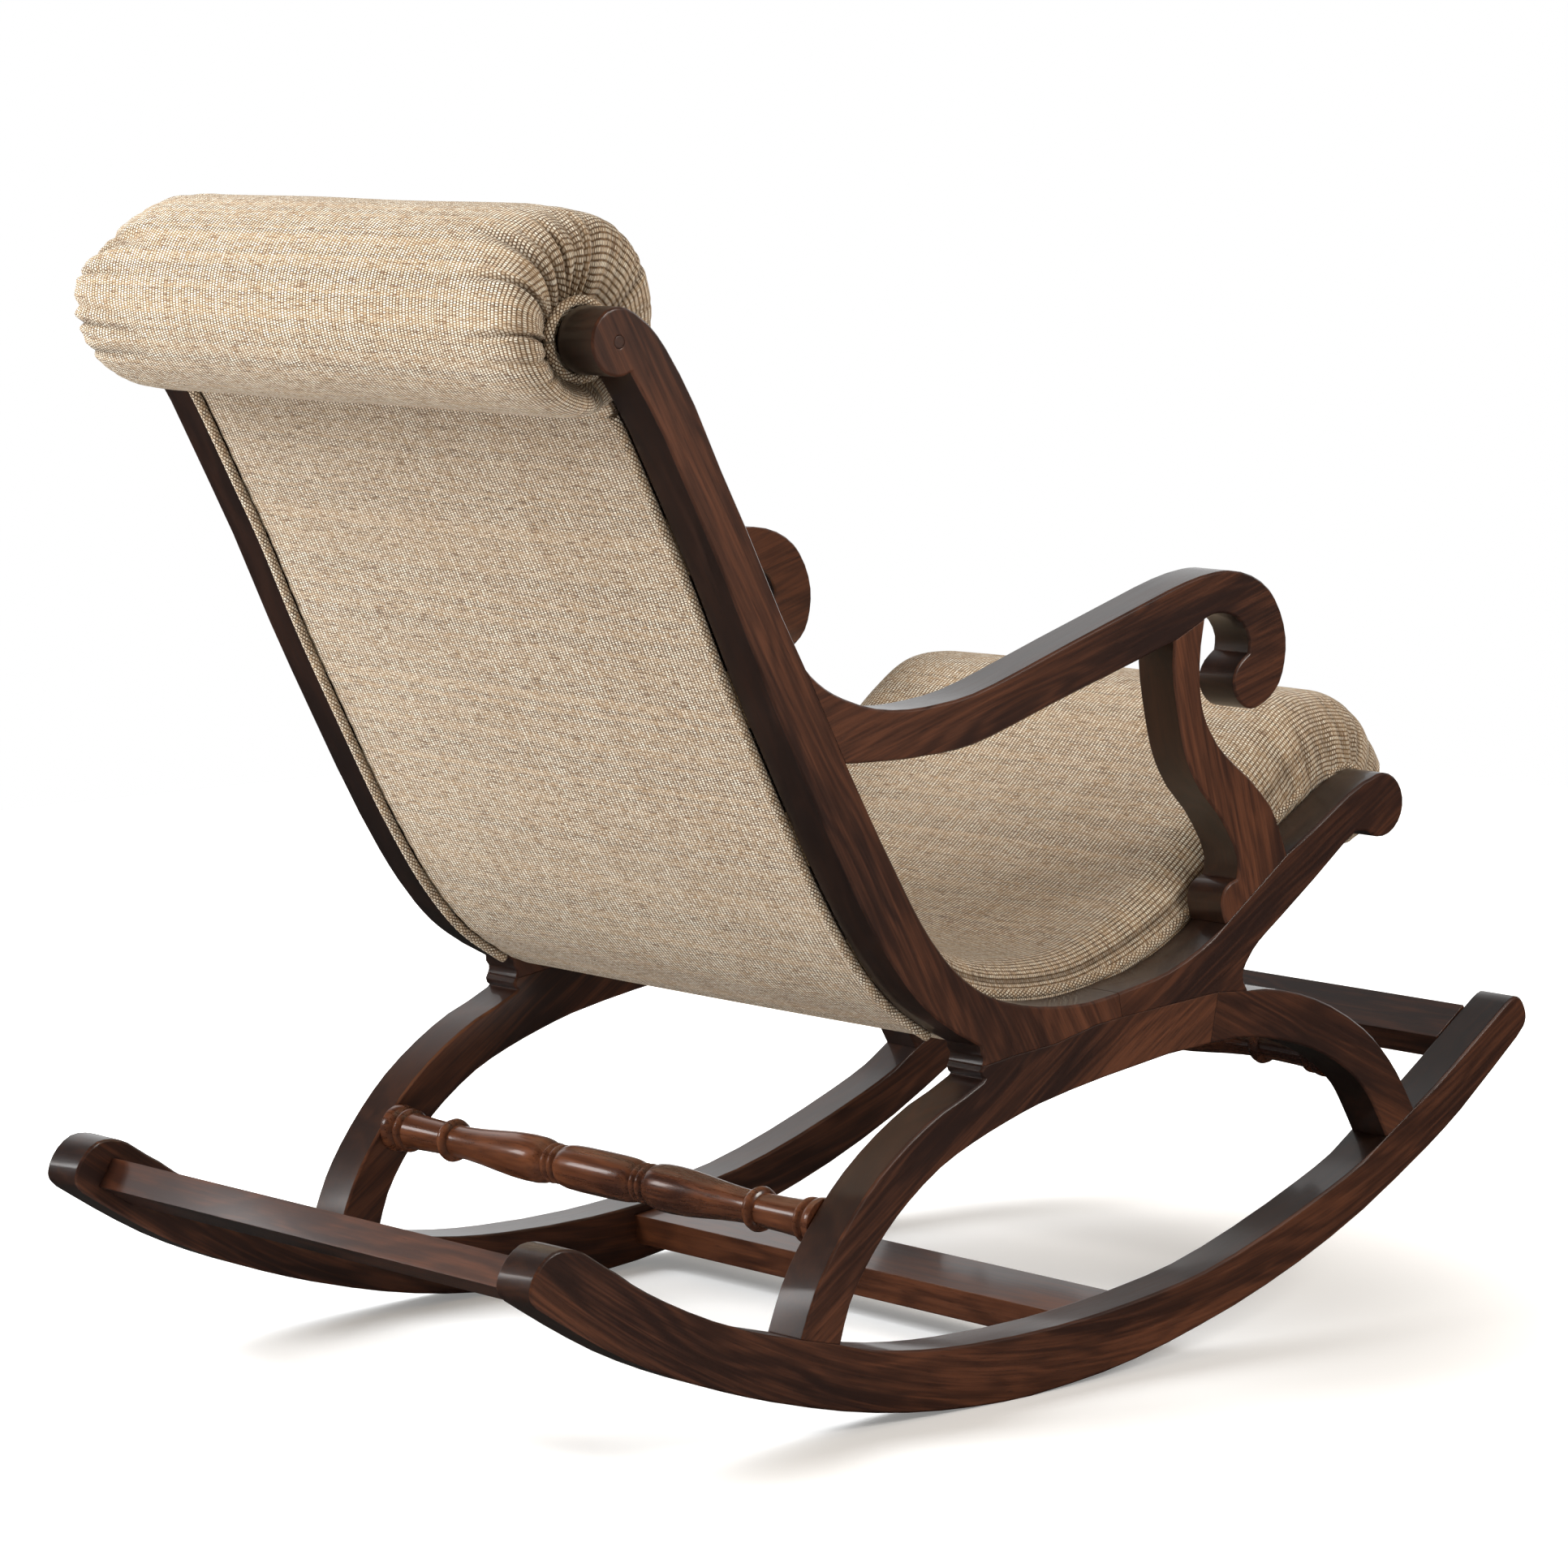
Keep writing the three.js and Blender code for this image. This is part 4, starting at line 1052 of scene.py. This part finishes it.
@dataclass
class SittingCover:
    """One cloth over back padding, seat padding and knee roll, sewn to a piping along both frames."""

    half_width: float = 268.0
    rows: int = 440
    edge_columns: int = 28
    middle_columns: int = 32
    thickness: float = 7.0
    tuck: float = 8.0  # how far the cloth's edge goes down behind the frame's edge
    nose_turn: tuple[int, int, int] = (90, 290, 20)  # first, last and step of the angles round the knee roll
    nose_radius: float = 30.0  # of the cloth's edge round the knee roll
    nose_widths: tuple[float, float] = (54.0, 40.0)  # how far the roll rounds over, on its top and its front
    gathers: Gathers = Gathers(count=24, depth=4.6, seed=5, reach=(0.25, 0.75), width=2.2)
    stations: tuple[Station, ...] = (
        Station((354, 850), (340, 867), 12),
        Station((344, 836), (326, 849), 12),
        Station((331, 810), (309, 823), 14),
        Station((305, 757), (283, 767), 22),
        Station((281, 713), (260, 725), 30),
        Station((245, 644), (223, 656), 30),
        Station((222, 602), (200, 614), 30),
        Station((181, 529), (158, 541), 30),
        Station((143, 466), (121, 480), 32),
        Station((111, 414), (90, 431), 34),
        Station((89, 384), (69, 405), 36),
        Station((61, 354), (46, 379), 36),
        Station((27, 332), (18, 358), 36),
        Station((-9, 321), (-13, 347), 36),
        Station((-44, 316), (-46, 342), 36),
        Station((-81, 315), (-80, 341), 36),
        Station((-115, 318), (-112, 344), 36),
        Station((-148, 325), (-141, 352), 36),
        Station((-178, 334), (-168, 362), 38),
        Station((-225, 351), (-209, 384), 42),
        Station((-262, 374), (-247, 412), 46),
        Station((-305, 403), (-290, 447), 50, 0.0),
        Station((-340, 427), (-328, 482), 54, 0.15),
        Station((-366, 446), (-359, 508), 56, 0.5),
        Station((-395, 463), (-392, 526), 52, 0.9),
    )

    def lines(self) -> np.ndarray:
        """Every station, then the knee roll's turn, as smooth rows.

        Returns:
            Rows of edge y and z, crown y and z, width and gather.
        """
        table = [(*s.edge, *s.crown, s.width, s.gather) for s in self.stations]
        first, last, step = self.nose_turn
        for degrees in range(first, last + 1, step):
            turn = math.radians(degrees)
            edge, crown = (
                (centre[0] + radius * math.cos(turn), centre[1] + radius * math.sin(turn))
                for centre, radius in ((KNEE_CENTRE, self.nose_radius), (KNEE_ROLL_CENTRE, KNEE_ROLL_RADIUS))
            )
            width = self.nose_widths[0] if degrees < 160 else self.nose_widths[1]
            table.append((*edge, *crown, width, 1.0))
        crown_first = [2, 3, 0, 1, 4, 5]  # smooth_line spaces its rows by the first two columns
        smooth = smooth_line(np.array(table)[:, crown_first], self.rows)[:, crown_first]
        smooth[:, 0:2] += left_of(smooth[:, 0:2]) * self.tuck
        return smooth

    def build(self, view: SideView) -> bpy.types.Object:
        """Builds the cloth with its underside as one closed skin.

        Args:
            view: The side view's place.

        Returns:
            The piece.
        """
        rows = self.lines()
        edge, crown, width, gather = rows[:, 0:2], rows[:, 2:4], rows[:, 4], rows[:, 5]
        along = run_along(crown)
        share = np.linspace(0, 1, self.edge_columns) ** 1.35
        inner = np.linspace(-1, 1, self.middle_columns + 2)[1:-1]
        x = np.hstack(
            [
                -self.half_width + share[None, :] * width[:, None],
                inner[None, :] * (self.half_width - width[:, None]),
                (self.half_width - share[None, :] * width[:, None])[:, ::-1],
            ]
        )
        u = np.clip((self.half_width - np.abs(x)) / width[:, None], 0, 1)
        rise = np.sqrt(np.clip(1 - (1 - u) ** 2, 0, 1)) ** 0.92
        bow = 1 - (x / self.half_width) ** 2
        y = edge[:, :1] + (crown[:, :1] - edge[:, :1]) * rise
        z = edge[:, 1:] + (crown[:, 1:] - edge[:, 1:]) * rise
        grid = np.stack([x, y, z], axis=-1)
        normal = surface_normals(grid)
        if normal[self.rows // 2, x.shape[1] // 2, 2] < 0:
            normal = -normal
        moved, mask = self.creases(along, x, u, gather)
        soft = 2.5 * bow + 0.35 * np.sin(along[:, None] * 0.045 + x * 0.018) * rise
        grid = grid + normal * (moved + soft)[..., None]
        steps = np.linalg.norm(np.diff(grid, axis=1), axis=2)
        profile = np.concatenate([np.zeros((len(x), 1)), np.cumsum(steps, axis=1)], axis=1)
        across = profile - profile[:, -1:] / 2
        thread = np.stack([across * MM, np.broadcast_to(along[:, None] * MM, x.shape), mask], axis=-1)
        lower = grid - normal * self.thickness
        return self.close(view, grid, lower, thread)

    def creases(
        self, along: np.ndarray, x: np.ndarray, u: np.ndarray, gather: np.ndarray
    ) -> tuple[np.ndarray, np.ndarray]:
        """Gathers at the knee roll's ends and a stitched line beside the piping.

        Args:
            along: Distance along the crown of each row.
            x: Each point's distance from the middle.
            u: 0 at the frame, 1 where the cloth is full.
            gather: How strong the gathers are in each row.

        Returns:
            Displacement in millimetres and the fold mask, painted as shade in the creases and along the
            stitched line.
        """
        turn = along[:, None] / (KNEE_ROLL_RADIUS + 8)
        moved, mask = np.zeros_like(x), np.zeros_like(x)
        for side, seed in ((-1, self.gathers.seed), (1, self.gathers.seed + 3)):
            depth, fold = replace(self.gathers, seed=seed).depths(turn, u, (28 + 42 * u))
            here = (np.sign(x) == side) * gather[:, None]
            moved += depth * here
            mask += fold * here
        from_edge = self.half_width - np.abs(x)
        stitch = np.exp(-(((from_edge - 6.0) / 1.5) ** 2)) * (1 - gather[:, None])
        pucker = np.sin(along[:, None] * 0.62) * np.exp(-(((from_edge - 13) / 7) ** 2)) * 0.22
        # The stitched line is sunk and also painted as shade.
        return moved - 1.3 * stitch + pucker, np.clip(mask + 0.6 * stitch, 0, 1)

    @staticmethod
    def close(
        view: SideView, grid: np.ndarray, lower: np.ndarray, thread: np.ndarray
    ) -> bpy.types.Object:
        """Joins the top and its underside into one closed piece.

        Args:
            view: The side view's place.
            grid: The top's points, mm.
            lower: The underside's points, mm.
            thread: The THREAD value of each of the top's points.

        Returns:
            The piece.
        """
        rows, columns = grid.shape[:2]
        count = rows * columns
        faces: list[Sequence[int]] = list(grid_faces(rows, columns))
        faces += [tuple(count + k for k in reversed(f)) for f in grid_faces(rows, columns)]
        rim = list(range(columns))
        rim += [r * columns + columns - 1 for r in range(1, rows)]
        rim += [(rows - 1) * columns + c for c in reversed(range(columns - 1))]
        rim += [r * columns for r in reversed(range(1, rows - 1))]
        for a, b in zip(rim, rim[1:] + rim[:1]):
            faces.append((b, a, a + count, b + count))
        both = np.concatenate([grid.reshape(-1, 3), lower.reshape(-1, 3)])
        points = view.points(both[:, 0], both[:, 1], both[:, 2])
        obj = make_piece("sitting_cover", points, faces, np.concatenate([thread.reshape(-1, 3)] * 2))
        face_outwards(obj)
        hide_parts("back_pad", "seat_pad", "knee_roll")
        FABRIC.coat(obj, Slot.FABRIC)
        return obj


@dataclass
class OuterCloth:
    """A stretched outer cloth between the two pipings: the back panel or the seat's underside."""

    name: str
    node: str
    line: tuple[Place, ...]
    half_width: float = 262.6
    rows: int = 240
    columns: int = 120
    thickness: float = 1.6
    fullness: float = 2.2

    def build(self, view: SideView) -> bpy.types.Object:
        """Builds the cloth as a thin closed sheet.

        Args:
            view: The side view's place.

        Returns:
            The piece.
        """
        line = smooth_line(self.line, self.rows)
        along = run_along(line)
        share = np.sin(np.linspace(-1, 1, self.columns) * math.pi / 2)
        x = np.broadcast_to(share * self.half_width, (self.rows, self.columns))
        outward = left_of(line)
        from_edge = self.half_width - np.abs(x)
        full = self.fullness * (1 - (x / self.half_width) ** 2)
        seam = -3.0 * np.exp(-((from_edge / 2.6) ** 2))
        ripple = 0.25 * np.sin(along[:, None] * 0.30 + 1.7) * np.exp(-((from_edge / 26) ** 2))
        lift = full + seam + ripple
        y = line[:, :1] + outward[:, :1] * lift
        z = line[:, 1:] + outward[:, 1:] * lift
        # Painted shade along the seam at each edge.
        seam_shade = 0.95 * np.exp(-((from_edge / 1.9) ** 2))
        thread = np.stack([x * MM, np.broadcast_to(along[:, None] * MM, x.shape), seam_shade], axis=-1)
        obj = make_piece(self.name, view.points(x, y, z), grid_faces(self.rows, self.columns), thread)
        self.turn_outwards(obj, outward[self.rows // 2])
        solid = obj.modifiers.new("thickness", "SOLIDIFY")
        solid.thickness = self.thickness * MM
        solid.offset = -1
        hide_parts(self.node)
        FABRIC.coat(obj, Slot.FABRIC)
        return obj

    @staticmethod
    def turn_outwards(obj: bpy.types.Object, outward: np.ndarray) -> None:
        """Flips the faces if they look towards the padding."""
        middle = obj.data.polygons[len(obj.data.polygons) // 2].normal
        if middle.y * outward[0] + middle.z * outward[1] < 0:
            obj.data.flip_normals()


@dataclass
class Piping:
    """Cloth-covered cord sewn along an edge."""

    name: str
    node: str
    radius: float = PIPING_RADIUS
    sides: int = 14

    def build(self, view: SideView, path: np.ndarray, closed: bool = False) -> bpy.types.Object:
        """Sweeps a round section along a path.

        Args:
            view: The side view's place.
            path: x, y and z of the cord's middle, mm.
            closed: Whether the cord joins itself.

        Returns:
            The piece.
        """
        if closed:
            tangent = np.roll(path, -1, 0) - np.roll(path, 1, 0)
        else:
            tangent = np.gradient(path, axis=0)
        tangent /= np.linalg.norm(tangent, axis=1, keepdims=True)
        side = np.array([1.0, 0.0, 0.0]) - tangent * tangent[:, :1]
        if closed:
            side = np.broadcast_to([1.0, 0.0, 0.0], path.shape)
        side = side / np.linalg.norm(side, axis=1, keepdims=True)
        up = np.cross(tangent, side)
        turn = full_turn(self.sides)
        along = run_along(path)
        radius = self.radius * (1 + 0.035 * np.sin(along * 0.9))[:, None, None]
        cosine, sine = np.cos(turn)[None, :, None], np.sin(turn)[None, :, None]
        ring = cosine * side[:, None, :] + sine * up[:, None, :]
        points = path[:, None, :] + radius * ring
        lean = along[:, None] * 0.7
        u = (turn[None, :] * self.radius + lean) * MM
        v = (along[:, None] - turn[None, :] * self.radius * 0.7) * MM
        thread = np.stack([u, v, np.zeros_like(u)], axis=-1)
        rows = len(path)
        if closed:
            last = (rows - 1) * self.sides
            faces: list[Sequence[int]] = list(grid_faces(rows, self.sides, wrap_columns=True))
            for k in range(self.sides):
                n = (k + 1) % self.sides
                faces.append((last + k, last + n, n, k))
        else:
            faces = tube_faces(rows, self.sides)
        obj = make_piece(self.name, view.points(*np.moveaxis(points, -1, 0)), faces, thread)
        face_outwards(obj)
        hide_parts(self.node)
        PIPING_CLOTH.coat(obj, Slot.FABRIC)
        return obj


BACK_LINE: tuple[Place, ...] = (
    (395, 826), (380, 808), (364, 783), (330, 721), (303, 671), (266, 595), (222, 512), (174, 426), (133, 365),
    (98, 327), (63, 303), (52, 296.5),
)  # fmt: skip
SEAT_LINE: tuple[Place, ...] = (
    (90, 392), (78, 376), (55, 353), (24, 335), (-8, 326), (-44, 321), (-81, 320), (-115, 323), (-152, 330),
    (-200, 346), (-236, 366), (-300, 409), (-340, 435), (-372, 456),
)  # fmt: skip
UNDER_LINE: tuple[Place, ...] = (
    (52, 296.5), (34, 289.5), (0, 284), (-60, 281), (-130, 286), (-195, 301), (-262, 329), (-320, 367),
    (-388, 411),
)  # fmt: skip


@dataclass
class Upholstery:
    """Everything made of cloth, and the straps inside."""

    cover: SittingCover = field(default_factory=SittingCover)
    bolster: HeadBolster = field(default_factory=HeadBolster)
    piping_rows: int = 300
    back_top: Place = (374, 799)  # where the back's piping comes out from under the head roll
    back_lift: float = 2.6  # how far the cords' middles stand out from the frame's line
    seat_lift: float = 3.6
    seat_shift: float = 0.9  # how much nearer to the frame the seat's cord lies
    ring_rows: int = 96
    ring_radius: float = 28.9

    def build(self, view: SideView, nodes: dict[str, bpy.types.Object]) -> None:
        """Builds every soft piece.

        Args:
            view: The side view's place.
            nodes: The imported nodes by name.
        """
        self.cover.build(view)
        self.bolster.build(view)
        OuterCloth("back_cloth", "back_cover", BACK_LINE).build(view)
        OuterCloth("underside_cloth", "underside_cover", UNDER_LINE, rows=160, fullness=1.0).build(view)
        for hand in Hand:
            self.build_piping(view, hand)
        for name, obj in nodes.items():
            if name.startswith("webbing_strap"):
                Jute("jute_webbing").coat(obj, Slot.WEBBING)

    def build_piping(self, view: SideView, hand: Hand) -> None:
        """The pipings on one side: down the back, along the seat, and round both scrolls.

        Args:
            view: The side view's place.
            hand: The side.
        """
        x = hand.sign * (INNER_X - PIPING_GAP - PIPING_RADIUS)
        back = (self.back_top, *BACK_LINE[2:])
        cords = (("back", back, self.back_lift, 0.0), ("seat", SEAT_LINE, self.seat_lift, self.seat_shift))
        for place, places, lift, shift in cords:
            line = smooth_line(places, self.piping_rows)
            line = line + left_of(line) * lift
            path = np.column_stack([np.full(len(line), x + hand.sign * shift), line])
            Piping(f"{hand.word}_{place}_cord", f"{hand.word}_{place}_piping").build(view, path)
        turn = full_turn(self.ring_rows)
        for place, centre in (("head", HEAD_CENTRE), ("knee", KNEE_CENTRE)):
            y, z = centre[0] + self.ring_radius * np.cos(turn), centre[1] + self.ring_radius * np.sin(turn)
            ring = np.column_stack([np.full(len(turn), x), y, z])
            piece = Piping(f"{hand.word}_{place}_ring_cord", f"{hand.word}_{place}_piping_ring", sides=12)
            piece.build(view, ring, closed=True)


# ---- studio ----
def direction(azimuth: float, elevation: float) -> Vector:
    """From the chair towards a place round it, by its angles in degrees."""
    a, e = math.radians(azimuth), math.radians(elevation)
    return Vector((math.sin(a) * math.cos(e), -math.cos(a) * math.cos(e), math.sin(e)))


@dataclass(frozen=True)
class Lamp:
    """A square softbox that faces the chair."""

    name: str
    azimuth: float  # its direction round the chair, as for the camera, degrees
    elevation: float  # its height above the horizon, degrees
    away: float
    size: float
    power: float  # watts
    tint: RGB = WHITE
    mirrored: bool = True  # whether the lacquer mirrors it

    def hang(self, centre: Vector) -> None:
        """Puts the lamp in the scene.

        Args:
            centre: What it faces.
        """
        data = bpy.data.lights.new(self.name, "AREA")
        data.shape = "SQUARE"
        data.size = self.size
        data.energy = self.power
        data.color = self.tint
        obj = bpy.data.objects.new(self.name, data)
        bpy.context.scene.collection.objects.link(obj)
        out = direction(self.azimuth, self.elevation)
        obj.location = centre + out * self.away
        obj.rotation_mode = "QUATERNION"
        obj.rotation_quaternion = (-out).to_track_quat("-Z", "Y")
        obj.visible_glossy = self.mirrored


LAMPS = (
    Lamp("key", 150.0, 35.0, away=3.0, size=1.7, power=142.0, tint=(0.95, 0.98, 1.0), mirrored=False),
    Lamp("fill", 286.0, 30.0, away=3.4, size=1.2, power=60.0, tint=(1.0, 0.955, 0.90)),
    Lamp("glint", 132.0, 13.0, away=3.4, size=0.6, power=9.0),
)


@dataclass
class Studio:
    """Pale floor, soft light and the camera."""

    azimuth: float = 228.0
    elevation: float = 7.313
    lens: float = 129.55
    camera_place: tuple[float, float, float] = (-3.45508, 3.07864, 1.05944)  # y before the part's shift
    floor_half: float = 3.2
    floor_lift: tuple[float, float] = (0.22, 1.0)  # how much the floor glows for the camera as painted light, under the chair and far from it
    floor_reach: tuple[float, float] = (0.42, 0.95)  # where it starts and stops getting brighter, m
    surround: RGB = (0.36, 0.31, 0.255)  # what lights the chair from all round
    backdrop: RGB = (0.95, 0.95, 0.95)
    backdrop_height: float = 12.0  # degrees above the horizon
    floor_tone: RGB = (0.86, 0.86, 0.865)
    target: tuple[float, float, float] = (0.0, 0.0, 0.45)  # what the lamps face

    def build(self, view: SideView) -> None:
        """Makes the floor, the world, the lamps and the camera.

        Args:
            view: The side view's place.
        """
        self.build_floor()
        self.build_world()
        for lamp in LAMPS:
            lamp.hang(Vector(self.target))
        self.build_camera(view)
        scene = bpy.context.scene
        scene.view_settings.view_transform = "Standard"
        scene.view_settings.look = "None"
        log.info("studio: camera at azimuth %.1f, elevation %.1f", self.azimuth, self.elevation)

    def build_floor(self) -> None:
        """A large pale floor, with a painted glow for the camera that grows away from the chair."""
        h = self.floor_half
        mesh = bpy.data.meshes.new("floor")
        mesh.from_pydata([(-h, -h, 0), (h, -h, 0), (h, h, 0), (-h, h, 0)], [], [(0, 1, 2, 3)])
        floor = bpy.data.objects.new("floor", mesh)
        bpy.context.scene.collection.objects.link(floor)
        material = bpy.data.materials.new("pale_floor")
        material.use_nodes = True
        work = Tree(material.node_tree)
        shader = material.node_tree.nodes["Principled BSDF"]
        path = work.node("LightPath").outputs
        tone = work.blend(path["Is Glossy Ray"], self.floor_tone, DARK_ROOM)
        work.feed(shader.inputs["Base Color"], tone)
        shader.inputs["Roughness"].default_value = 0.9
        shader.inputs["Specular IOR Level"].default_value = 0.0
        shader.inputs["Emission Color"].default_value = (1.0, 1.0, 0.985, 1.0)
        # Painted light: the floor glows for camera rays only, less under the chair, which lightens the floor
        # and its cast shadows.
        place = work.node("TexCoord").outputs["Object"]
        away = work.node("VectorMath", {0: place}, operation="LENGTH").outputs["Value"]
        near, far = self.floor_lift
        lift = work.math("ADD", near, work.math("MULTIPLY", work.range(away, *self.floor_reach), far - near))
        work.feed(shader.inputs["Emission Strength"], work.math("MULTIPLY", path["Is Camera Ray"], lift))
        mesh.materials.append(material)

    def build_world(self) -> None:
        """White behind the chair, dim all round it, and bright where a low front backdrop would stand."""
        world = bpy.data.worlds.new("surround")
        world.use_nodes = True
        work = Tree(world.node_tree)
        background = world.node_tree.nodes["Background"]
        path = work.node("LightPath").outputs
        place = work.node("TexCoord").outputs["Generated"]
        front = direction(self.azimuth - 180.0, self.backdrop_height)
        facing = work.node("VectorMath", {0: place, 1: tuple(front)}, operation="DOT_PRODUCT")
        dim = work.blend(path["Is Glossy Ray"], self.surround, DARK_ROOM)
        lit = work.blend(work.range(facing.outputs["Value"], 0.62, 0.93), dim, self.backdrop)
        work.feed(background.inputs["Color"], work.blend(path["Is Camera Ray"], lit, WHITE))
        bpy.context.scene.world = world

    def build_camera(self, view: SideView) -> None:
        """The camera at its viewing angle."""
        data = bpy.data.cameras.new("camera")
        data.sensor_width = 36.0
        data.lens = self.lens
        data.clip_end = 60.0
        camera = bpy.data.objects.new("camera", data)
        bpy.context.scene.collection.objects.link(camera)
        x, y, z = self.camera_place
        camera.location = (x, y + view.shift, z)
        back = direction(self.azimuth, self.elevation)
        camera.rotation_mode = "QUATERNION"
        camera.rotation_quaternion = (-back).to_track_quat("-Z", "Y")
        bpy.context.scene.camera = camera


def main() -> None:
    """Builds and dresses the chair piece by piece, then the studio."""
    logging.basicConfig(level=logging.INFO, format="%(name)s: %(message)s")
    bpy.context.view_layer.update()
    view = SideView.from_frame()
    nodes = frame["nodes"]
    SideFrames().dress(nodes)
    CrossBoards().dress(nodes)
    Stretcher("rear_stretcher", REAR_STRETCHER, seed=41.0).build(view)
    Stretcher("front_stretcher", FRONT_STRETCHER, seed=47.0).build(view)
    Upholstery().build(view, nodes)
    Studio().build(view)


if __name__ == "__main__":
    main()
